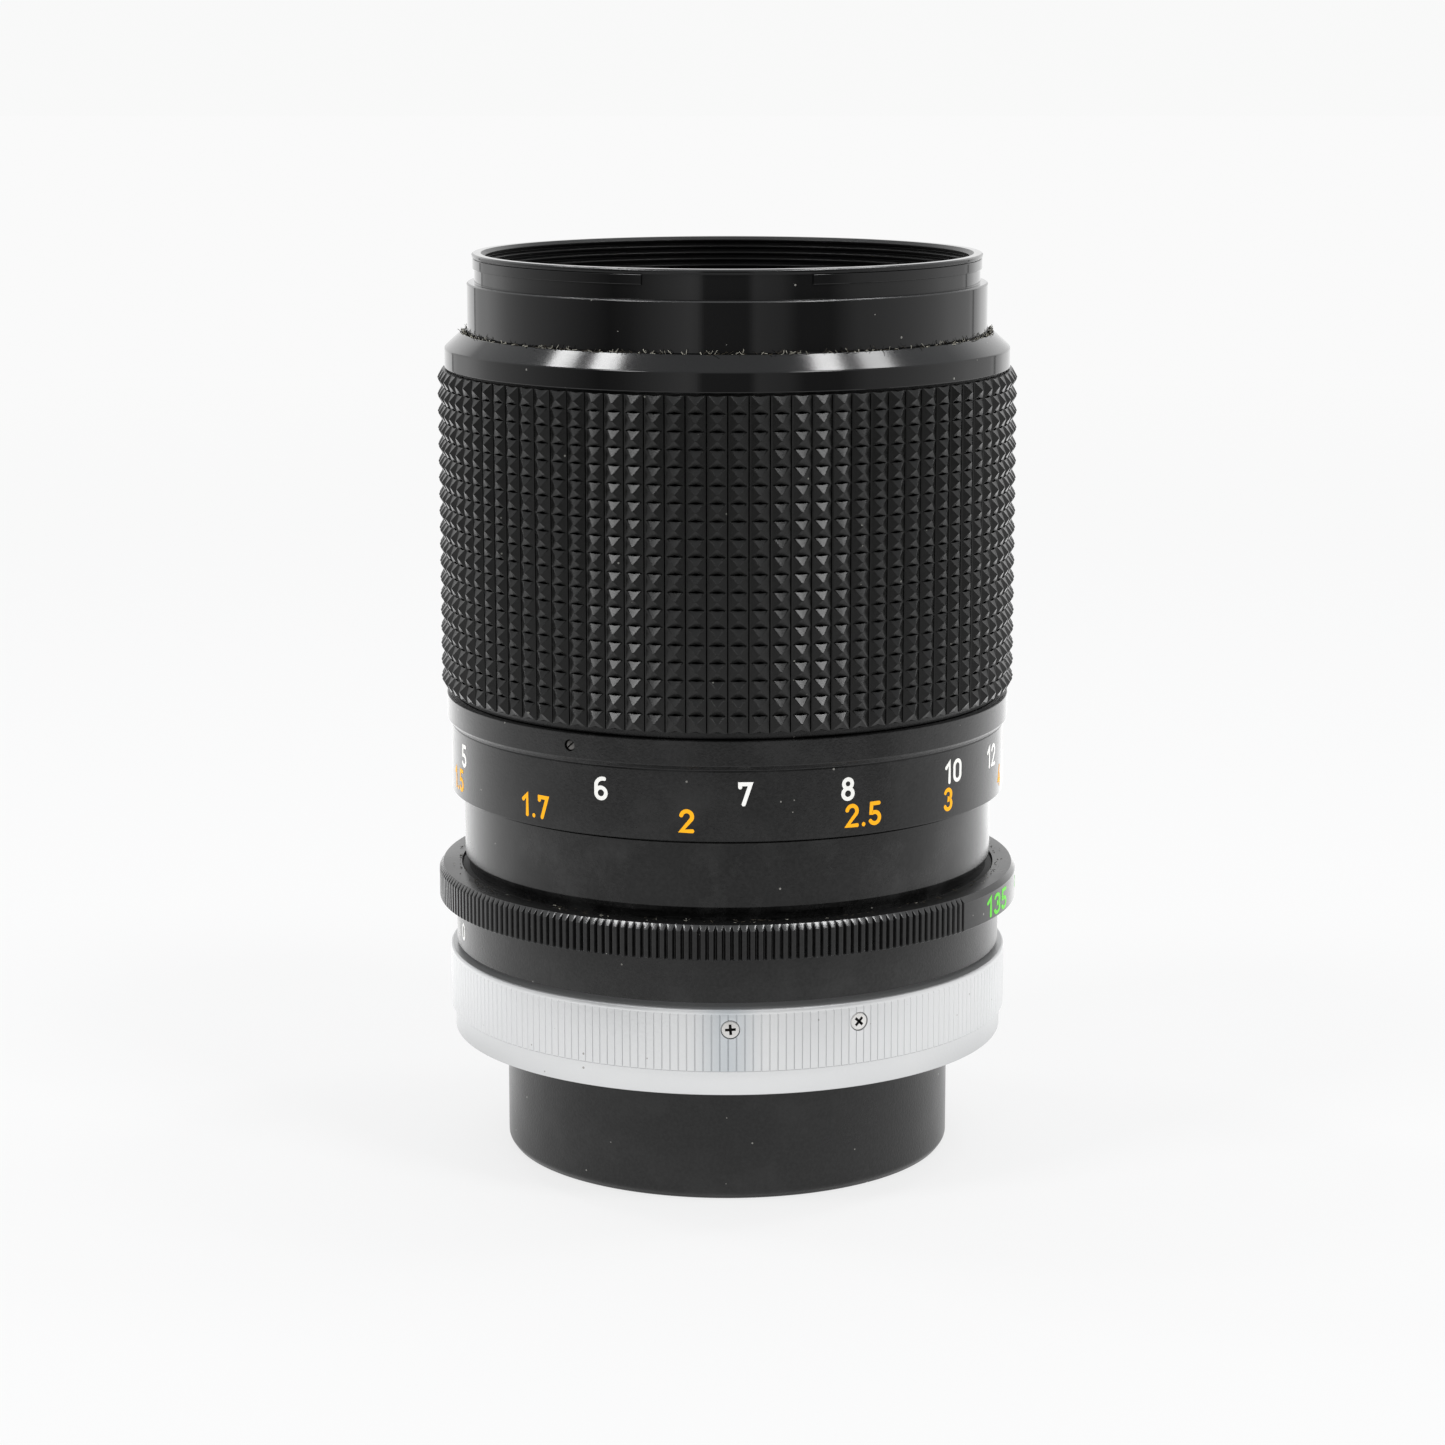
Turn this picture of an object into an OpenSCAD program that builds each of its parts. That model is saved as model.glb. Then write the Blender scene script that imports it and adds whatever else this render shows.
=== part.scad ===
// Manual focus portrait telephoto prime lens with a breech-lock camera mount.
// Units are millimetres. The origin is the centre of the mount's flange face, +Z points to the front
// of the lens, and the whole lens stands on its rear cap. Angles are counted from -Y towards +X.

/* [Front barrel] */
// Outside radius of the glossy front tube
front_tube_r = 29.2; // [29.1:0.05:29.25]
// Height of the front rim above the mount flange
rim_z = 85.26; // [85:0.02:85.6]
// Minor radius of the filter thread
filter_minor_r = 27.1; // [27:0.05:27.2]
// Pitch of the filter thread ridges
filter_pitch = 0.75; // [0.7:0.05:0.8]

/* [Focus ring] */
// Radius over the peaks of the rubber grip
grip_r = 32.6; // [32.3:0.1:33]
// Radius at the bottom of the rubber's grooves
grip_valley_r = 31.95; // [31.8:0.05:32.1]
// Number of rows of blocks up the rubber grip
grip_rows = 19; // [15:1:21]
// Radius of the distance scale band
scale_r = 31.55; // [31.45:0.05:31.65]
// Radius of the flange that carries the grub screws
scale_flange_r = 32; // [31.9:0.05:32.1]

/* [Aperture ring] */
// Radius over the aperture ring's knurl
aperture_r = 33.17; // [33:0.05:33.4]
// Number of knurl teeth that a full turn would hold
knurl_count = 234; // [180:1:260]
// Depth of a knurl groove
knurl_depth = 0.42; // [0.2:0.02:0.5]
// Turn of the aperture ring from widest to smallest stop
aperture_turn = 66; // [60:1:66]

/* [Breech lock] */
// Radius of the chrome breech ring over its serrations
breech_r = 32; // [31.9:0.05:32.2]
// Number of serrations around the breech ring
breech_count = 220; // [120:1:240]
// Radius of the breech ring's smooth lower band
breech_band_r = 31.55; // [31.3:0.05:31.8]

/* [Rear cap] */
// Outside radius of the rear cap
cap_r = 25.5; // [25.3:0.05:25.55]
// Height of the rear cap's underside below the mount flange
cap_drop = 17.34; // [15:0.02:20]

/* [Iris] */
// Number of iris blades
blade_count = 6; // [6:1:6]
// Radius of the circle on which the blades pivot
blade_pivot_r = 20.5; // [20.4:0.05:20.6]
// Inner radius of a blade's crescent
blade_inner_r = 12.8; // [12.8:0.1:13.2]
// Thickness of one blade
blade_t = 0.2; // [0.1:0.02:0.22]

/* [Glass] */
// Radius of the front element's edge
front_glass_r = 20.5; // [20.3:0.05:20.5]
// Radius of the second element's edge
second_glass_r = 19; // [18.8:0.05:19]
// Radius of the third element's edge
third_glass_r = 15.5; // [15.3:0.05:15.5]
// Radius of the rear element's edge
rear_glass_r = 14; // [13.9:0.05:14]

/* [Hidden] */
$fn = 120;

eps = 0.5;              // how far a cutter runs past a face
slack = 0.1;            // running clearance between turning rings
fit = 0.05;             // clearance of a located piece

// Mount base and breech
flange_z = 0;
spigot_z = -2.2;
spigot_r = 23.6;
base_bore_r = 21;
base_plate_t = 2.6;
base_lip_r = 27.5;
base_lip_t = 1;
hub_r = 26.9;
hub_bore_r = 23.4;
hub_top_z = 6.5;
stop_groove_r = 25.3;
stop_groove_z = [2.4, 5.6];
stop_plate_r = 25.4;
stop_plate_z = [2.6, 5.4];
stop_plate_arc = [-6, 33];
breech_turn = 60;
breech_z = [-3.5, 6.24];
breech_step_z = -0.76;
breech_lip_z = 5.54;
breech_shoulder_z = 1.1;
breech_throat_r = 27.6;
breech_groove_w = 0.16;
breech_groove_d = 0.12;
breech_lip_r = breech_r - breech_groove_d - 0.03;
breech_edge = 0.2;
breech_lug_r = 25.7;
breech_lug_t = 0.9;
breech_lug_arc = 56;
breech_gap_angles = [0, 120, 240];
breech_screw_angles = [0.6, 26.6];
breech_screw_z = 4;
breech_head_r = 1;
breech_head_x = [31.2, 31.92];
breech_shank_r = 0.6;
breech_shank_x = 25.9;
breech_screw_twist = [0, 45];
cross_w = 0.34;
cross_len = 1.3;
cross_depth = 0.35;

// Rear barrel and the fixed sleeve
rear_barrel_r = 31.24;
rear_barrel_z = [6.76, 11.84];
rear_floor_z = 9;
rear_floor_bore_r = 22;
sleeve_r = 29.77;
sleeve_bore_r = 28.4;
sleeve_top_z = 66;
sleeve_band_r = 30.17;
sleeve_band_z = [15.9, 17.1, 24.4];
mount_screw_pcd_r = 24.9;
mount_screw_angles = [45, 165, 285];
mount_screw_r = 0.8;
mount_head_r = 1.4;
mount_head_t = 0.9;
mount_screw_top_z = 8.4;
slot_w = 0.4;
slot_depth = 0.4;

// Guide keys
key_angles = [90, 270];
key_w = 4;
key_z = [32, 40];
key_x = [27, 28.4];
key_slot_w = 4.1;
key_slot_top_z = 40.3;
key_screw_z = 36;
key_head_r = 1.2;
key_head_x = [28.9, 29.5];
key_shank_r = 0.6;
key_shank_x = 27.4;

// Click stop
click_angle = 250;
click_pcd_r = 25.2;
click_ball_r = 0.8;
click_ball_z = 8.45;
click_bore_r = 0.85;
click_plunger_z = [6.78, 7.6];
click_spring_z = [6.54, 6.76];
click_spring_r = [24.5, 26];
click_spring_arc = 40;
click_recess_z = 6.8;

// Rear baffle and the stop-down lever
baffle_r = [19, 20.95];
baffle_flange_z = [3.9, 4.9];
baffle_flange_r = 23.35;
baffle_mask_t = 0.8;
baffle_window = [26, 19];
lever_z = [2.7, 3.8];
lever_r = [21.3, 23.3];
lever_tab_r = [21.8, 22.9];
lever_tab_arc = 8;
lever_tab_angle = 60;
lever_travel = 25;
lever_tab_z = -2;
lever_spare = 2;

// Rear cap
cap_wall_r = 23.9;
cap_floor_t = 1.9;
cap_top_z = -0.15;
cap_edge = 0.7;
cap_lug_r = 27.3;
cap_lug_z = [-2.4, -0.9];
cap_lug_arc = 50;
cap_grip_r = 25.7;

// Aperture ring and its lever ring
aperture_z = [11.94, 15.8];
aperture_bevel = 0.55;
aperture_recess_z = 14.8;
aperture_recess_r = 30.6;
aperture_bottom_bevel = 0.12;
knurl_arc = [172, 412.7];
knurl_land = 0.5;
retainer_z = [14.95, 15.5];
retainer_r = 30.45;
link_angles = [180, 255];
link_z = 13.2;
link_r = 0.5;
link_x = [27, 32.2];
link_window_half = 0.6;
link_spare = 2.5;
lever_ring_z = [9.3, 14.8];
lever_ring_r = [24.3, 28.25];
prong_x = [24.3, 25.3];
prong_w = 3;
prong_top_z = 41.5;
button_angle = 215;
button_w = 3;
button_h = 2.2;
button_x = [31.5, 33.8];
button_z = 13.8;
button_pocket_x = 30.8;
button_gap = 0.06;

// Carrier tube and front barrel
carrier_r = [26.9, 28.3];
carrier_z = [15.5, 72];
carrier_lip_z = [39, 40];
carrier_lip_r = 25.9;
carrier_seat_r = 27.7;
carrier_seat_z = 70.6;
tube_flange_r = 30.4;
tube_flange_z = [70.2, 72];
tube_socket_z = 72.6;
tube_bore_r = 27.2;
thread_z = 79.9;
thread_depth = 0.35;
rim_chamfer = 0.3;
thread_crest = [0.1, 0.42];
thread_root = 0.71;
thread_relief_z = 79.3;
rim_band_r = 28.55;
rim_band_h = 0.58;
lug_ring_r = 28.5;
lug_ring_h = 1.13;
lug_groove_r = 28.2;
lug_groove_h = 1.53;
lug_gap_angles = [0, 120, 240];
lug_gap_arc = 37;
tube_edge = 0.2;
stop_channel_r = 29.5;
stop_channel_z = [70.7, 71.5];
focus_turn = 223;
stop_screw_angle = 120;
stop_screw_r = 0.35;
stop_screw_x = [29.7, 31.25];
stop_screw_z = 71.1;
stop_spare = 2;

// Focus ring pieces
focus_bore_r = 29.87;
focus_z = [25.2, 72.45];
focus_core_r = 30.55;
focus_neck_r = 31;
focus_seat_r = 31.3;
focus_recess_z = 69.9;
focus_recess_r = 30.5;
scale_z = [24.57, 35.67];
scale_step_z = [32.26, 32.97];
scale_bore_r = 30.6;
scale_lip_r = 29.9;
scale_lip_z = 25.15;
scale_edge = 0.17;
grip_z = [36.53, 72.39];
bezel_z = [72.45, 76.55];
bezel_r = 31.8;
bezel_groove_z = 72.62;
bezel_groove_r = 31.3;
bezel_chamfer_z = 74.78;
bezel_top_r = 29.85;
bezel_bore_r = 29.55;
bezel_tongue_z = 72.1;
bezel_tongue_r = 30.45;
grub_angles = [-32, 88, 208];
grub_z = 34.3;
grub_r = 0.6;
grub_x = [30.1, 31.85];
grub_slot_w = 0.22;
grub_slot_depth = 0.3;
grub_twist = 45;

// Front cell and its glass
cell_foot_r = 17.5;
cell_foot_z = 46.6;
cell_waist_z = 55.5;
cell_waist_r = 21;
cell_body_z = 64;
cell_body_r = 26.85;
cell_flange_r = 27.65;
cell_collar_z = 72.6;
cell_collar_r = 22;
front_glass_z = [67, 73.5];
front_curve = 62;
front_bore_r = 20.55;
spacer_z = [61.75, 67];
spacer_r = [17.9, 19.1];
spacer_bore_r = 19.15;
second_glass_z = [59.9, 65.4];
second_curve = 45;
second_back_curve = 90;
second_seat_z = 57.85;
second_seat_r = 18;
waist_bore_r = 14.6;
waist_bore_z = 54.6;
third_glass_z = [48.28, 54.55];
third_front_curve = 110;
third_front_z = 53.5;
third_back_curve = 32;
third_back_z = 51.5;
third_bore_r = 15.55;
front_retainer_z = [70.6, 72.4];
front_retainer_r = [18.9, 20.5];
third_retainer_r = [14.2, 15.5];
third_retainer_z = [46.65, 48.25];
name_outer_r = 27.15;
name_top_z = 79.7;
name_top_r = 26.3;
name_inner_r = 21.4;
name_step_z = 75.9;
name_bottom_z = 74.2;
name_wall_r = 22.2;
name_wall_z = 77.8;

// Iris unit
iris_floor_z = [40, 41.2];
iris_hole_r = 13;
iris_wall_r = [25.6, 26.85];
iris_wall_top_z = 44.5;
iris_cover_t = 1.2;
iris_cover_r = 14;
iris_pin_r = 0.5;
iris_pin_hole_r = 0.55;
iris_pin_bottom_z = 40.2;
blade_outer_r = 19;
blade_arc = [-5, 90];
blade_z = 41.3;
blade_step = 0.28;
blade_bulge_r = 4.8;
blade_bulge_pos = [16.8, 40];
blade_ear_r = 1.3;
blade_tail_r = 0.8;
blade_pin_pos = [21.49, -10];
blade_ratio = 0.5;
cam_z = [43.1, 44.3];
cam_r = [14, 25.5];
cam_steps = 28;
cam_over = 2.6;
fork_w = 7;
fork_gap = 3.1;
fork_z = [24, 41.7];
fork_window_r = 23.9;
fork_window_half = 9.6;
iris_screw_angles = [150, 225, 300];
iris_screw_pcd_r = 26.2;
iris_screw_r = 0.32;
iris_head_r = 0.55;
iris_head_t = 0.4;
iris_screw_z = 43;
iris_retainer_r = 25;
iris_retainer_h = 1.3;

// Rear cell
rear_cell_z = [27, 38.7];
rear_cell_r = [14.05, 16.5];
rear_seat_z = [32.05, 32.9];
rear_seat_r = 13.3;
rear_flange_r = 18.6;
rear_screw_pcd_r = 17.4;
rear_screw_angles = [30, 150, 270];
rear_screw_r = 0.4;
rear_head_r = 0.75;
rear_screw_z = [38.7, 39.3, 40.9];
rear_glass_z = [29, 33.5];
rear_front_curve = 60;
rear_back_curve = 90;
rear_retainer_r = [13, 14];
rear_retainer_z = [27.4, 29.9];

chrome = [0.82, 0.83, 0.84];
steel = [0.62, 0.63, 0.65];
brass = [0.75, 0.62, 0.32];
satin_black = [0.14, 0.14, 0.14];
gloss_black = [0.07, 0.07, 0.07];
rubber_black = [0.1, 0.1, 0.1];
blade_grey = [0.25, 0.25, 0.27];
glass_tint = [0.7, 0.8, 0.85, 0.5];

// A point at radius r and angle a, counted from -Y towards +X
function around(r, a) = [r * sin(a), -r * cos(a)];
// The same point counted from +X, for pieces that are laid out from the X axis
function polar(r, a) = [r * cos(a), r * sin(a)];
// A 2-D point turned by an angle about a centre
function turned(p, a, c) = [c[0] + (p[0] - c[0]) * cos(a) - (p[1] - c[1]) * sin(a),
    c[1] + (p[0] - c[0]) * sin(a) + (p[1] - c[1]) * cos(a)];
// Where a blade's drive pin sits in the cam ring's own frame when the ring has turned by a
function cam_point(a) = turned(turned(polar(blade_pin_pos[0], blade_pin_pos[1]), a * blade_ratio,
    [blade_pivot_r, 0]), -a, [0, 0]);
// Unit normal of the cam slot's centre line
function cam_normal(a) = let (d = cam_point(a + 0.5) - cam_point(a - 0.5)) [-d[1], d[0]] / norm(d);

module tube(inner_r, outer_r, z0, z1) {
    translate([0, 0, z0]) difference() {
        cylinder(r = outer_r, h = z1 - z0);
        translate([0, 0, -eps]) cylinder(r = inner_r, h = z1 - z0 + 2 * eps);
    }
}

module lathe(points) {
    rotate_extrude() polygon(points);
}

// A wedge that covers the angles a0 to a1, counted from -Y towards +X, less than half a turn
module wedge(a0, a1, reach, z0, z1) {
    mid = (a0 + a1) / 2;
    far = reach / cos((a1 - a0) / 4);
    translate([0, 0, z0]) linear_extrude(height = z1 - z0)
        polygon([[0, 0], around(far, a0), around(far, mid), around(far, a1)]);
}

// A ring sector between two radii and two angles
module sector(inner_r, outer_r, a0, a1, z0, z1) {
    intersection() {
        tube(inner_r, outer_r, z0, z1);
        wedge(a0, a1, outer_r * 1.5, z0 - eps, z1 + eps);
    }
}

// Children drawn along +X are placed at an angle counted from -Y
module at_angle(a) {
    rotate([0, 0, a - 90]) children();
}

// A pin that lies along a radius from x0 to x1 at height z
module radial_pin(r, x0, x1, z) {
    translate([x0, 0, z]) rotate([0, 90, 0]) cylinder(r = r, h = x1 - x0, $fn = 40);
}

// Corner points of a serrated ring: n notches of width w and depth d
function notched(r, n, w, d) = [for (i = [0 : n - 1]) let (a = i * 360 / n, h = w / r * 90 / PI)
    for (p = [around(r, a - h), around(r - d, a), around(r, a + h)]) p];

// Corner points of the aperture ring's knurl, which leaves a smooth arc for its marks
function knurled(r, d) = let (pitch = 360 / knurl_count, teeth = floor((knurl_arc[1] - knurl_arc[0])
    / pitch)) [for (i = [0 : teeth - 1]) let (a = knurl_arc[0] + i * pitch)
    for (p = [around(r, a), around(r, a + pitch * knurl_land), around(r - d, a + pitch * 0.75)]) p];

module mount_base() {
    color(chrome) difference() {
        lathe([[base_bore_r, spigot_z], [spigot_r, spigot_z], [spigot_r, flange_z],
            [base_lip_r, flange_z], [base_lip_r, base_lip_t], [hub_r, base_lip_t],
            [hub_r, hub_top_z], [hub_bore_r, hub_top_z], [hub_bore_r, base_plate_t],
            [base_bore_r, base_plate_t]]);
        sector(stop_groove_r, hub_r + eps, stop_plate_arc[0] - breech_turn - 1,
            stop_plate_arc[1] + 1, stop_groove_z[0], stop_groove_z[1]);
        sector(lever_tab_r[0] - slack, lever_tab_r[1] + slack, lever_tab_angle - lever_spare
            - lever_tab_arc / 2, lever_tab_angle + lever_travel + lever_spare + lever_tab_arc / 2,
            spigot_z - eps, base_plate_t + eps);
        for (a = mount_screw_angles) at_angle(a) translate([mount_screw_pcd_r, 0, 0]) {
            translate([0, 0, -eps]) cylinder(r = mount_screw_r, h = hub_top_z + 2 * eps, $fn = 40);
            translate([0, 0, -eps]) cylinder(r = mount_head_r, h = mount_head_t + eps, $fn = 40);
        }
    }
}

module mount_screws() {
    color(steel) for (a = mount_screw_angles) at_angle(a) translate([mount_screw_pcd_r, 0, 0])
        difference() {
            union() {
                cylinder(r = mount_head_r - fit, h = mount_head_t, $fn = 40);
                cylinder(r = mount_screw_r, h = mount_screw_top_z, $fn = 40);
            }
            translate([-mount_head_r, -slot_w / 2, -eps]) cube([2 * mount_head_r, slot_w,
                slot_depth + eps]);
        }
}

module rear_barrel() {
    color(satin_black) difference() {
        lathe([[rear_floor_bore_r, hub_top_z], [hub_r - slack, hub_top_z],
            [hub_r - slack, rear_barrel_z[0]], [rear_barrel_r, rear_barrel_z[0]],
            [rear_barrel_r, rear_barrel_z[1]], [sleeve_r, rear_barrel_z[1]],
            [sleeve_r, rear_floor_z], [rear_floor_bore_r, rear_floor_z]]);
        for (a = mount_screw_angles) at_angle(a) translate([mount_screw_pcd_r, 0, hub_top_z - eps])
            cylinder(r = mount_screw_r, h = mount_screw_top_z - hub_top_z + eps, $fn = 40);
        at_angle(click_angle) translate([click_pcd_r, 0, hub_top_z - eps])
            cylinder(r = click_bore_r, h = rear_floor_z - hub_top_z + 2 * eps, $fn = 40);
        sector(click_spring_r[0] - fit, click_spring_r[1] + fit, click_angle - click_spring_arc / 2
            - 1, click_angle + click_spring_arc / 2 + 1, hub_top_z - eps, click_recess_z);
    }
}

module barrel_sleeve() {
    color(satin_black) difference() {
        lathe([[sleeve_bore_r, rear_floor_z], [sleeve_r, rear_floor_z],
            [sleeve_r, sleeve_band_z[0]], [sleeve_band_r, sleeve_band_z[1]],
            [sleeve_band_r, sleeve_band_z[2]], [sleeve_r, sleeve_band_z[2]],
            [sleeve_r, sleeve_top_z], [sleeve_bore_r, sleeve_top_z]]);
        for (a = link_angles) sector(sleeve_bore_r - eps, sleeve_r + eps, a - link_spare,
            a + aperture_turn + link_spare, link_z - link_window_half, link_z + link_window_half);
        for (a = key_angles) at_angle(a) {
            radial_pin(key_shank_r, key_shank_x, key_head_x[0] + eps, key_screw_z);
            radial_pin(key_head_r, key_head_x[0], sleeve_r + eps, key_screw_z);
        }
    }
}

module guide_keys() {
    color(brass) for (a = key_angles) at_angle(a) difference() {
        intersection() {
            tube(key_x[0], key_x[1], key_z[0], key_z[1]);
            translate([0, -key_w / 2, key_z[0] - eps]) cube([key_x[1] + eps, key_w,
                key_z[1] - key_z[0] + 2 * eps]);
        }
        radial_pin(key_shank_r, key_shank_x, key_x[1] + eps, key_screw_z);
    }
}

module key_screws() {
    color(steel) for (a = key_angles) at_angle(a) difference() {
        union() {
            radial_pin(key_shank_r, key_shank_x, key_head_x[1], key_screw_z);
            radial_pin(key_head_r - fit, key_head_x[0], key_head_x[1], key_screw_z);
        }
        translate([key_head_x[1] - slot_depth, -slot_w / 2, key_screw_z - key_head_r])
            cube([slot_depth + eps, slot_w, 2 * key_head_r]);
    }
}

module aperture_retainer() {
    color(steel) difference() {
        tube(sleeve_r, retainer_r, retainer_z[0], retainer_z[1]);
        at_angle(180) translate([0, -1, retainer_z[0] - eps]) cube([retainer_r + eps, 2, 2]);
    }
}

module click_ball() {
    color(steel) at_angle(click_angle) translate([click_pcd_r, 0, click_ball_z])
        sphere(r = click_ball_r, $fn = 40);
}

module click_plunger() {
    color(brass) at_angle(click_angle) translate([click_pcd_r, 0, click_plunger_z[0]])
        cylinder(r = click_ball_r, h = click_plunger_z[1] - click_plunger_z[0], $fn = 40);
}

module click_spring() {
    color(brass) sector(click_spring_r[0], click_spring_r[1], click_angle - click_spring_arc / 2,
        click_angle + click_spring_arc / 2, click_spring_z[0], click_spring_z[1]);
}

module rear_baffle() {
    color(satin_black) difference() {
        union() {
            tube(baffle_r[0], baffle_r[1], spigot_z, baffle_flange_z[1]);
            tube(baffle_r[0], baffle_flange_r, baffle_flange_z[0], baffle_flange_z[1]);
            translate([0, 0, spigot_z]) cylinder(r = baffle_r[1], h = baffle_mask_t);
        }
        translate([-baffle_window[0] / 2, -baffle_window[1] / 2, spigot_z - eps])
            cube([baffle_window[0], baffle_window[1], baffle_mask_t + 2 * eps]);
    }
}

module stop_down_lever() {
    color(steel) union() {
        tube(lever_r[0], lever_r[1], lever_z[0], lever_z[1]);
        sector(lever_tab_r[0], lever_tab_r[1], lever_tab_angle - lever_tab_arc / 2,
            lever_tab_angle + lever_tab_arc / 2, lever_tab_z, lever_z[1]);
    }
}

module breech_ring() {
    color(chrome) difference() {
        union() {
            intersection() {
                translate([0, 0, breech_z[0]]) linear_extrude(height = breech_z[1] - breech_z[0])
                    polygon(notched(breech_r, breech_count, breech_groove_w, breech_groove_d));
                tube(hub_r + slack, breech_r + eps, breech_step_z, breech_lip_z);
            }
            lathe([[hub_r + slack, breech_lip_z], [breech_lip_r, breech_lip_z],
                [breech_lip_r, breech_z[1] - breech_edge], [breech_lip_r - breech_edge,
                breech_z[1]], [hub_r + slack, breech_z[1]]]);
            lathe([[breech_throat_r, breech_z[0]], [breech_band_r - breech_edge, breech_z[0]],
                [breech_band_r, breech_z[0] + breech_edge], [breech_band_r, breech_step_z],
                [hub_r + slack, breech_step_z], [hub_r + slack, breech_z[0] + breech_lug_t],
                [breech_throat_r, breech_z[0] + breech_lug_t]]);
            for (a = breech_gap_angles) sector(breech_lug_r, breech_throat_r + slack,
                a + 60 - breech_lug_arc / 2, a + 60 + breech_lug_arc / 2, breech_z[0],
                breech_z[0] + breech_lug_t);
        }
        translate([0, 0, breech_z[0] + breech_lug_t]) cylinder(r = breech_throat_r,
            h = breech_shoulder_z - breech_z[0] - breech_lug_t);
        for (a = breech_screw_angles) at_angle(a) {
            radial_pin(breech_head_r + fit, breech_head_x[0], breech_r + eps, breech_screw_z);
            radial_pin(breech_shank_r, breech_shank_x, breech_r, breech_screw_z);
        }
    }
}

module breech_stop_plate() {
    color(steel) difference() {
        sector(stop_plate_r, hub_r + slack, stop_plate_arc[0], stop_plate_arc[1], stop_plate_z[0],
            stop_plate_z[1]);
        for (a = breech_screw_angles) at_angle(a)
            radial_pin(breech_shank_r, breech_shank_x, breech_r, breech_screw_z);
    }
}

module breech_screws() {
    color(steel) for (i = [0 : 1]) at_angle(breech_screw_angles[i]) difference() {
        union() {
            radial_pin(breech_head_r, breech_head_x[0], breech_head_x[1], breech_screw_z);
            radial_pin(breech_shank_r, breech_shank_x, breech_head_x[1], breech_screw_z);
        }
        translate([breech_head_x[1] - cross_depth, 0, breech_screw_z])
            rotate([breech_screw_twist[i], 0, 0]) {
                translate([0, -cross_w / 2, -cross_len / 2]) cube([1, cross_w, cross_len]);
                translate([0, -cross_len / 2, -cross_w / 2]) cube([1, cross_len, cross_w]);
            }
    }
}

module rear_cap() {
    color(satin_black) union() {
        lathe([[0, -cap_drop], [cap_r - cap_edge, -cap_drop], [cap_r, -cap_drop + cap_edge],
            [cap_r, cap_top_z], [cap_wall_r, cap_top_z], [cap_wall_r, -cap_drop + cap_floor_t],
            [0, -cap_drop + cap_floor_t]]);
        for (a = breech_gap_angles) sector(cap_r - slack, cap_lug_r, a - cap_lug_arc / 2,
            a + cap_lug_arc / 2, cap_lug_z[0], cap_lug_z[1]);
    }
}

module aperture_ring() {
    color(satin_black) difference() {
        intersection() {
            translate([0, 0, aperture_z[0]]) linear_extrude(height = aperture_z[1] - aperture_z[0])
                polygon(concat(knurled(aperture_r, knurl_depth),
                    [for (a = [knurl_arc[1] : 2.5 : knurl_arc[0] + 360]) around(aperture_r, a)]));
            lathe([[0, aperture_z[0]], [aperture_r - aperture_bottom_bevel, aperture_z[0]],
                [aperture_r + slack, aperture_z[0] + aperture_bottom_bevel + slack],
                [aperture_r + slack, aperture_z[1] - aperture_bevel - slack],
                [aperture_r - aperture_bevel, aperture_z[1]], [0, aperture_z[1]]]);
        }
        translate([0, 0, aperture_z[0] - eps]) cylinder(r = focus_bore_r, h = 5);
        translate([0, 0, aperture_recess_z]) cylinder(r = aperture_recess_r, h = 5);
        for (a = link_angles) at_angle(a) radial_pin(link_r, link_x[0], aperture_r + eps, link_z);
        at_angle(button_angle) translate([button_pocket_x, -button_w / 2 - button_gap,
            button_z - button_h / 2 - button_gap]) cube([5, button_w + 2 * button_gap,
            button_h + 2 * button_gap]);
    }
}

module link_screws() {
    color(steel) for (a = link_angles) at_angle(a) difference() {
        radial_pin(link_r, link_x[0], link_x[1], link_z);
        translate([link_x[1] - slot_depth, -grub_slot_w / 2, link_z - link_r - eps])
            cube([1, grub_slot_w, 2 * link_r + 2 * eps]);
    }
}

module aperture_lever_ring() {
    color(brass) union() {
        difference() {
            tube(lever_ring_r[0], lever_ring_r[1], lever_ring_z[0], lever_ring_z[1]);
            for (a = link_angles) at_angle(a) radial_pin(link_r, link_x[0], 30, link_z);
        }
        translate([prong_x[0], -prong_w / 2, lever_ring_z[1] - 1]) cube([prong_x[1] - prong_x[0],
            prong_w, prong_top_z - lever_ring_z[1] + 1]);
    }
}

module lock_button() {
    color(chrome) at_angle(button_angle) translate([button_x[0], -button_w / 2,
        button_z - button_h / 2]) cube([button_x[1] - button_x[0], button_w, button_h]);
}

module carrier_tube() {
    color(satin_black) difference() {
        union() {
            tube(carrier_r[0], carrier_r[1], carrier_z[0], carrier_z[1]);
            tube(carrier_lip_r, carrier_r[0] + slack, carrier_lip_z[0], carrier_lip_z[1]);
        }
        translate([0, 0, carrier_seat_z]) cylinder(r = carrier_seat_r, h = 5);
        for (a = key_angles) at_angle(a) translate([carrier_lip_r - 1, -key_slot_w / 2,
            carrier_z[0] - eps]) cube([5, key_slot_w, key_slot_top_z - carrier_z[0] + eps]);
    }
}

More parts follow.
